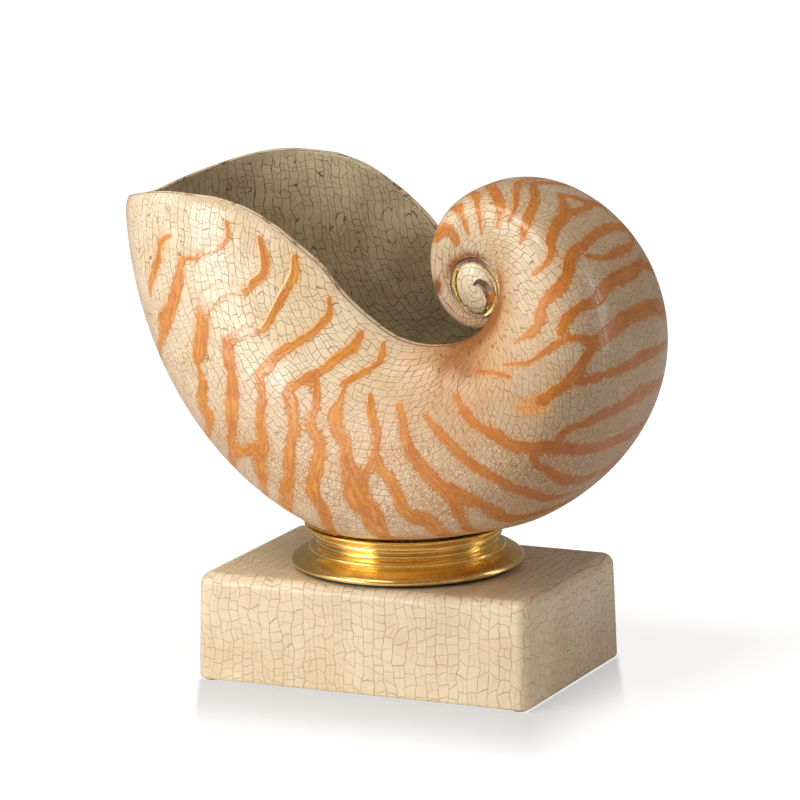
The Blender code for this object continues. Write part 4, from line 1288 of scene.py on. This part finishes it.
def make_collar(material):
    low, high = collar_low.z, collar_high.z
    foot = (collar_high.x - collar_low.x) / 2 - COLLAR_INSET
    outline = [(radius, high - fall) for radius, fall in COLLAR_RIM]
    cove_high, cove_low = high - COVE_START[1], low + COVE_END[1]
    for share in np.linspace(0, 1, COVE_STEPS):
        radius = COVE_START[0] + (COVE_END[0] - COVE_START[0]) * share
        bow = COVE_DEPTH * math.sin(math.pi * share)
        outline.append((radius - bow, cove_high + (cove_low - cove_high) * share))
    outline += [(radius, low + rise) for radius, rise in COLLAR_SIDE]
    outline += [(foot + out, low + rise) for out, rise in COLLAR_FOOT]
    outline += [(radius, low + rise) for radius, rise in COLLAR_INSIDE]
    sculpt = Sculpt()
    sculpt.turned(rounded(outline, COLLAR_SOFTENING), COLLAR_STEPS)
    for vert in sculpt.bm.verts:
        bearing = math.atan2(vert.co.y, vert.co.x)
        wobble = sum(
            depth * math.sin(waves * bearing + phase) for depth, waves, phase in COLLAR_WOBBLE
        )
        radius = math.hypot(vert.co.x, vert.co.y)
        if WOBBLE_FROM < radius < foot - 0.001:
            vert.co.x *= 1 - abs(wobble) / radius
            vert.co.y *= 1 - abs(wobble) / radius
    bmesh.ops.translate(sculpt.bm, verts=sculpt.bm.verts, vec=SEAT)
    piece = sculpt.finish("turned_collar", material, 50)
    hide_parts("brass_collar")


def make_plinth(material):
    """A block narrower at the top, rounded along its edges and hollow from below."""
    size = PLINTH_HALF * 2
    sculpt = Sculpt()
    bm = sculpt.bm
    bmesh.ops.create_cube(bm, size=1)
    for vert in bm.verts:
        lean = PLINTH_DRAFT if vert.co.z > 0 else 0
        vert.co.x *= size.x - 2 * lean
        vert.co.y *= size.y - 2 * lean
        vert.co.z *= size.z

    def bevel(edges, width, steps):
        bmesh.ops.bevel(
            bm, geom=edges, offset=width, segments=steps, profile=0.5, affect="EDGES", material=-1
        )

    def heights(edge):
        return [vert.co.z for vert in edge.verts]

    upright = [edge for edge in bm.edges if max(heights(edge)) - min(heights(edge)) > size.z / 2]
    bevel(upright + [edge for edge in bm.edges if min(heights(edge)) > 0], PLINTH_ROUNDING, 10)
    bevel([edge for edge in bm.edges if max(heights(edge)) < -size.z / 2 + 1e-5], FOOT_ROUNDING, 4)
    underside = min(bm.faces, key=lambda face: face.calc_center_median().z)
    bmesh.ops.inset_region(bm, faces=[underside], thickness=PLINTH_WALL, use_even_offset=True)
    raised = bmesh.ops.extrude_face_region(bm, geom=[underside])
    bmesh.ops.delete(bm, geom=[underside], context="FACES_ONLY")
    ceiling = [item for item in raised["geom"] if isinstance(item, bmesh.types.BMVert)]
    bmesh.ops.translate(bm, verts=ceiling, vec=(0, 0, size.z - PLINTH_TOP))
    bmesh.ops.translate(bm, verts=bm.verts, vec=PLINTH_MIDDLE)
    piece = sculpt.finish("glazed_plinth", material, 40)
    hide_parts("plinth")


def dress(material, *nodes):
    """CAD nodes that keep their shape and get a better material."""
    for node in nodes:
        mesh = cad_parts[node].data
        mesh.materials.clear()
        mesh.materials.append(material)


def look(thing, place, target):
    back = (Vector(place) - Vector(target)).normalized()
    turned = back.to_track_quat("Z", "Y").to_matrix().to_4x4()
    thing.matrix_world = Matrix.Translation(place) @ turned


def make_camera():
    """The photograph's view."""
    angles = (CAMERA_AZIMUTH, CAMERA_ELEVATION, CAMERA_ROLL)
    azimuth, elevation, roll = (math.radians(angle) for angle in angles)
    back = Vector((
        math.sin(azimuth) * math.cos(elevation),
        -math.cos(azimuth) * math.cos(elevation),
        math.sin(elevation),
    ))
    data = bpy.data.cameras.new("photo_view")
    data.lens = CAMERA_LENS
    data.sensor_width = SENSOR_WIDTH
    camera = add("photo_view", data)
    turned = Matrix.Rotation(roll, 3, back) @ back.to_track_quat("Z", "Y").to_matrix()
    place = Vector(CAMERA_TARGET) + CAMERA_DISTANCE * back
    camera.matrix_world = Matrix.Translation(place) @ turned.to_4x4()
    bpy.context.scene.camera = camera


def make_lamp(name, place, target, width, height, power, colour=(1, 1, 1)):
    data = bpy.data.lights.new(name, "AREA")
    data.shape = "RECTANGLE"
    data.size = width
    data.size_y = height
    data.energy = power
    data.color = colour
    look(add(name, data), place, target)


def make_studio():
    """Two softboxes in front to the left, a warm one above, a small card low on the right, a thin
    cool strip behind to the right, and a white room that lights the piece only a little."""
    middle = (0, 0, 0.08)
    warm, warmer, cool = (1.0, 0.98, 0.95), (1.0, 0.94, 0.86), (0.95, 0.97, 1.0)
    make_lamp("key_softbox", (-0.98, -1.02, 0.42), middle, 0.8, 0.8, 6.6, warm)
    make_lamp("front_strip", (-0.62, -1.28, 0.34), middle, 0.26, 0.5, 3.6)
    make_lamp("top_softbox", (-0.25, -0.55, 1.15), middle, 0.8, 0.5, 9, warmer)
    make_lamp("side_card", (1.3, -0.55, 0.25), (0.06, 0, 0.03), 0.5, 0.3, 0.5)
    make_lamp("rim_strip", (1.0, 0.6, 0.42), middle, 0.10, 0.8, 2, cool)
    world = bpy.data.worlds.new("studio")
    bpy.context.scene.world = world
    world.use_nodes = True
    nodes = Nodes(world.node_tree)
    kinds = ("Camera", "Transmission", "Glossy")
    camera, through, glossy = (nodes.node("LightPath", output=f"Is {kind} Ray") for kind in kinds)
    background = nodes.tree.nodes["Background"].inputs
    light = camera.most(through).most(glossy * ROOM_GLOSS).most(ROOM_LIGHT)
    nodes.feed(background["Strength"], light)
    nodes.feed(background["Color"], nodes.mix(camera, ROOM_TINT, (1.0, 1.0, 1.0)))


def make_floor():
    """A white floor that keeps the plinth's soft shadow, with a fading grey reflection of the
    plinth drawn in front of it as the photograph's view would see it."""
    bm = bmesh.new()
    bmesh.ops.create_grid(bm, x_segments=2, y_segments=2, size=FLOOR_SIZE)
    recipe = Recipe("studio_floor", Roughness=0.6, Specular_IOR_Level=0.0)
    seen = recipe.node("LightPath", output="Is Camera Ray")
    half = PLINTH_HALF
    x, y, _ = recipe.parts(recipe.shifted(recipe.place(), (-PLINTH_MIDDLE.x, -PLINTH_MIDDLE.y, 0)))
    base = recipe.span(seen, 0, 1, 0.8, 0.22)
    # How far behind a place the plinth begins and ends, seen from the camera's side
    azimuth = math.radians(CAMERA_AZIMUTH)
    across, back = math.sin(azimuth), math.cos(azimuth)
    first = ((x - half.x) / across).most((-half.y - y) / back)
    last = ((x + half.x) / across).least((half.y - y) / back)
    ahead = recipe.step(last - first, 0.0, 0.006) * recipe.step(first, -0.004, 0.0)
    mirrored = recipe.step(first, MIRROR_REACH, -0.005) * ahead
    away = (abs(x) - half.x).most(abs(y) - half.y)
    glow = recipe.span(away, *FLOOR_GLOW) - mirrored * MIRROR_DEPTH
    recipe.set(
        Base_Color=recipe.join(base, base, base),
        Emission_Color=recipe.mix(seen, (0, 0, 0), recipe.join(glow, glow, glow)),
        Emission_Strength=1.0,
    )
    floor = add_mesh("studio_floor", bm, recipe.material)


view = bpy.context.scene.view_settings
view.view_transform = "Standard"
make_camera()
make_studio()
make_floor()
glaze = shell_glaze()
gold = brass()
shell = make_shell(glaze)
make_eye(-1, "near_eye", glaze)
make_eye(1, "far_eye", glaze)
make_base(glaze, shell)
make_collar(gold)
make_plinth(plinth_glaze())
dress(gold, "inner_washer", "cap_nut")
dress(steel(), "tie_rod", "base_washer", "spring_washer", "base_nut")
dress(rubber(), "shell_gasket", "foot_gasket", "inner_gasket")
dress(felt(), "felt_pad_1", "felt_pad_2", "felt_pad_3", "felt_pad_4")
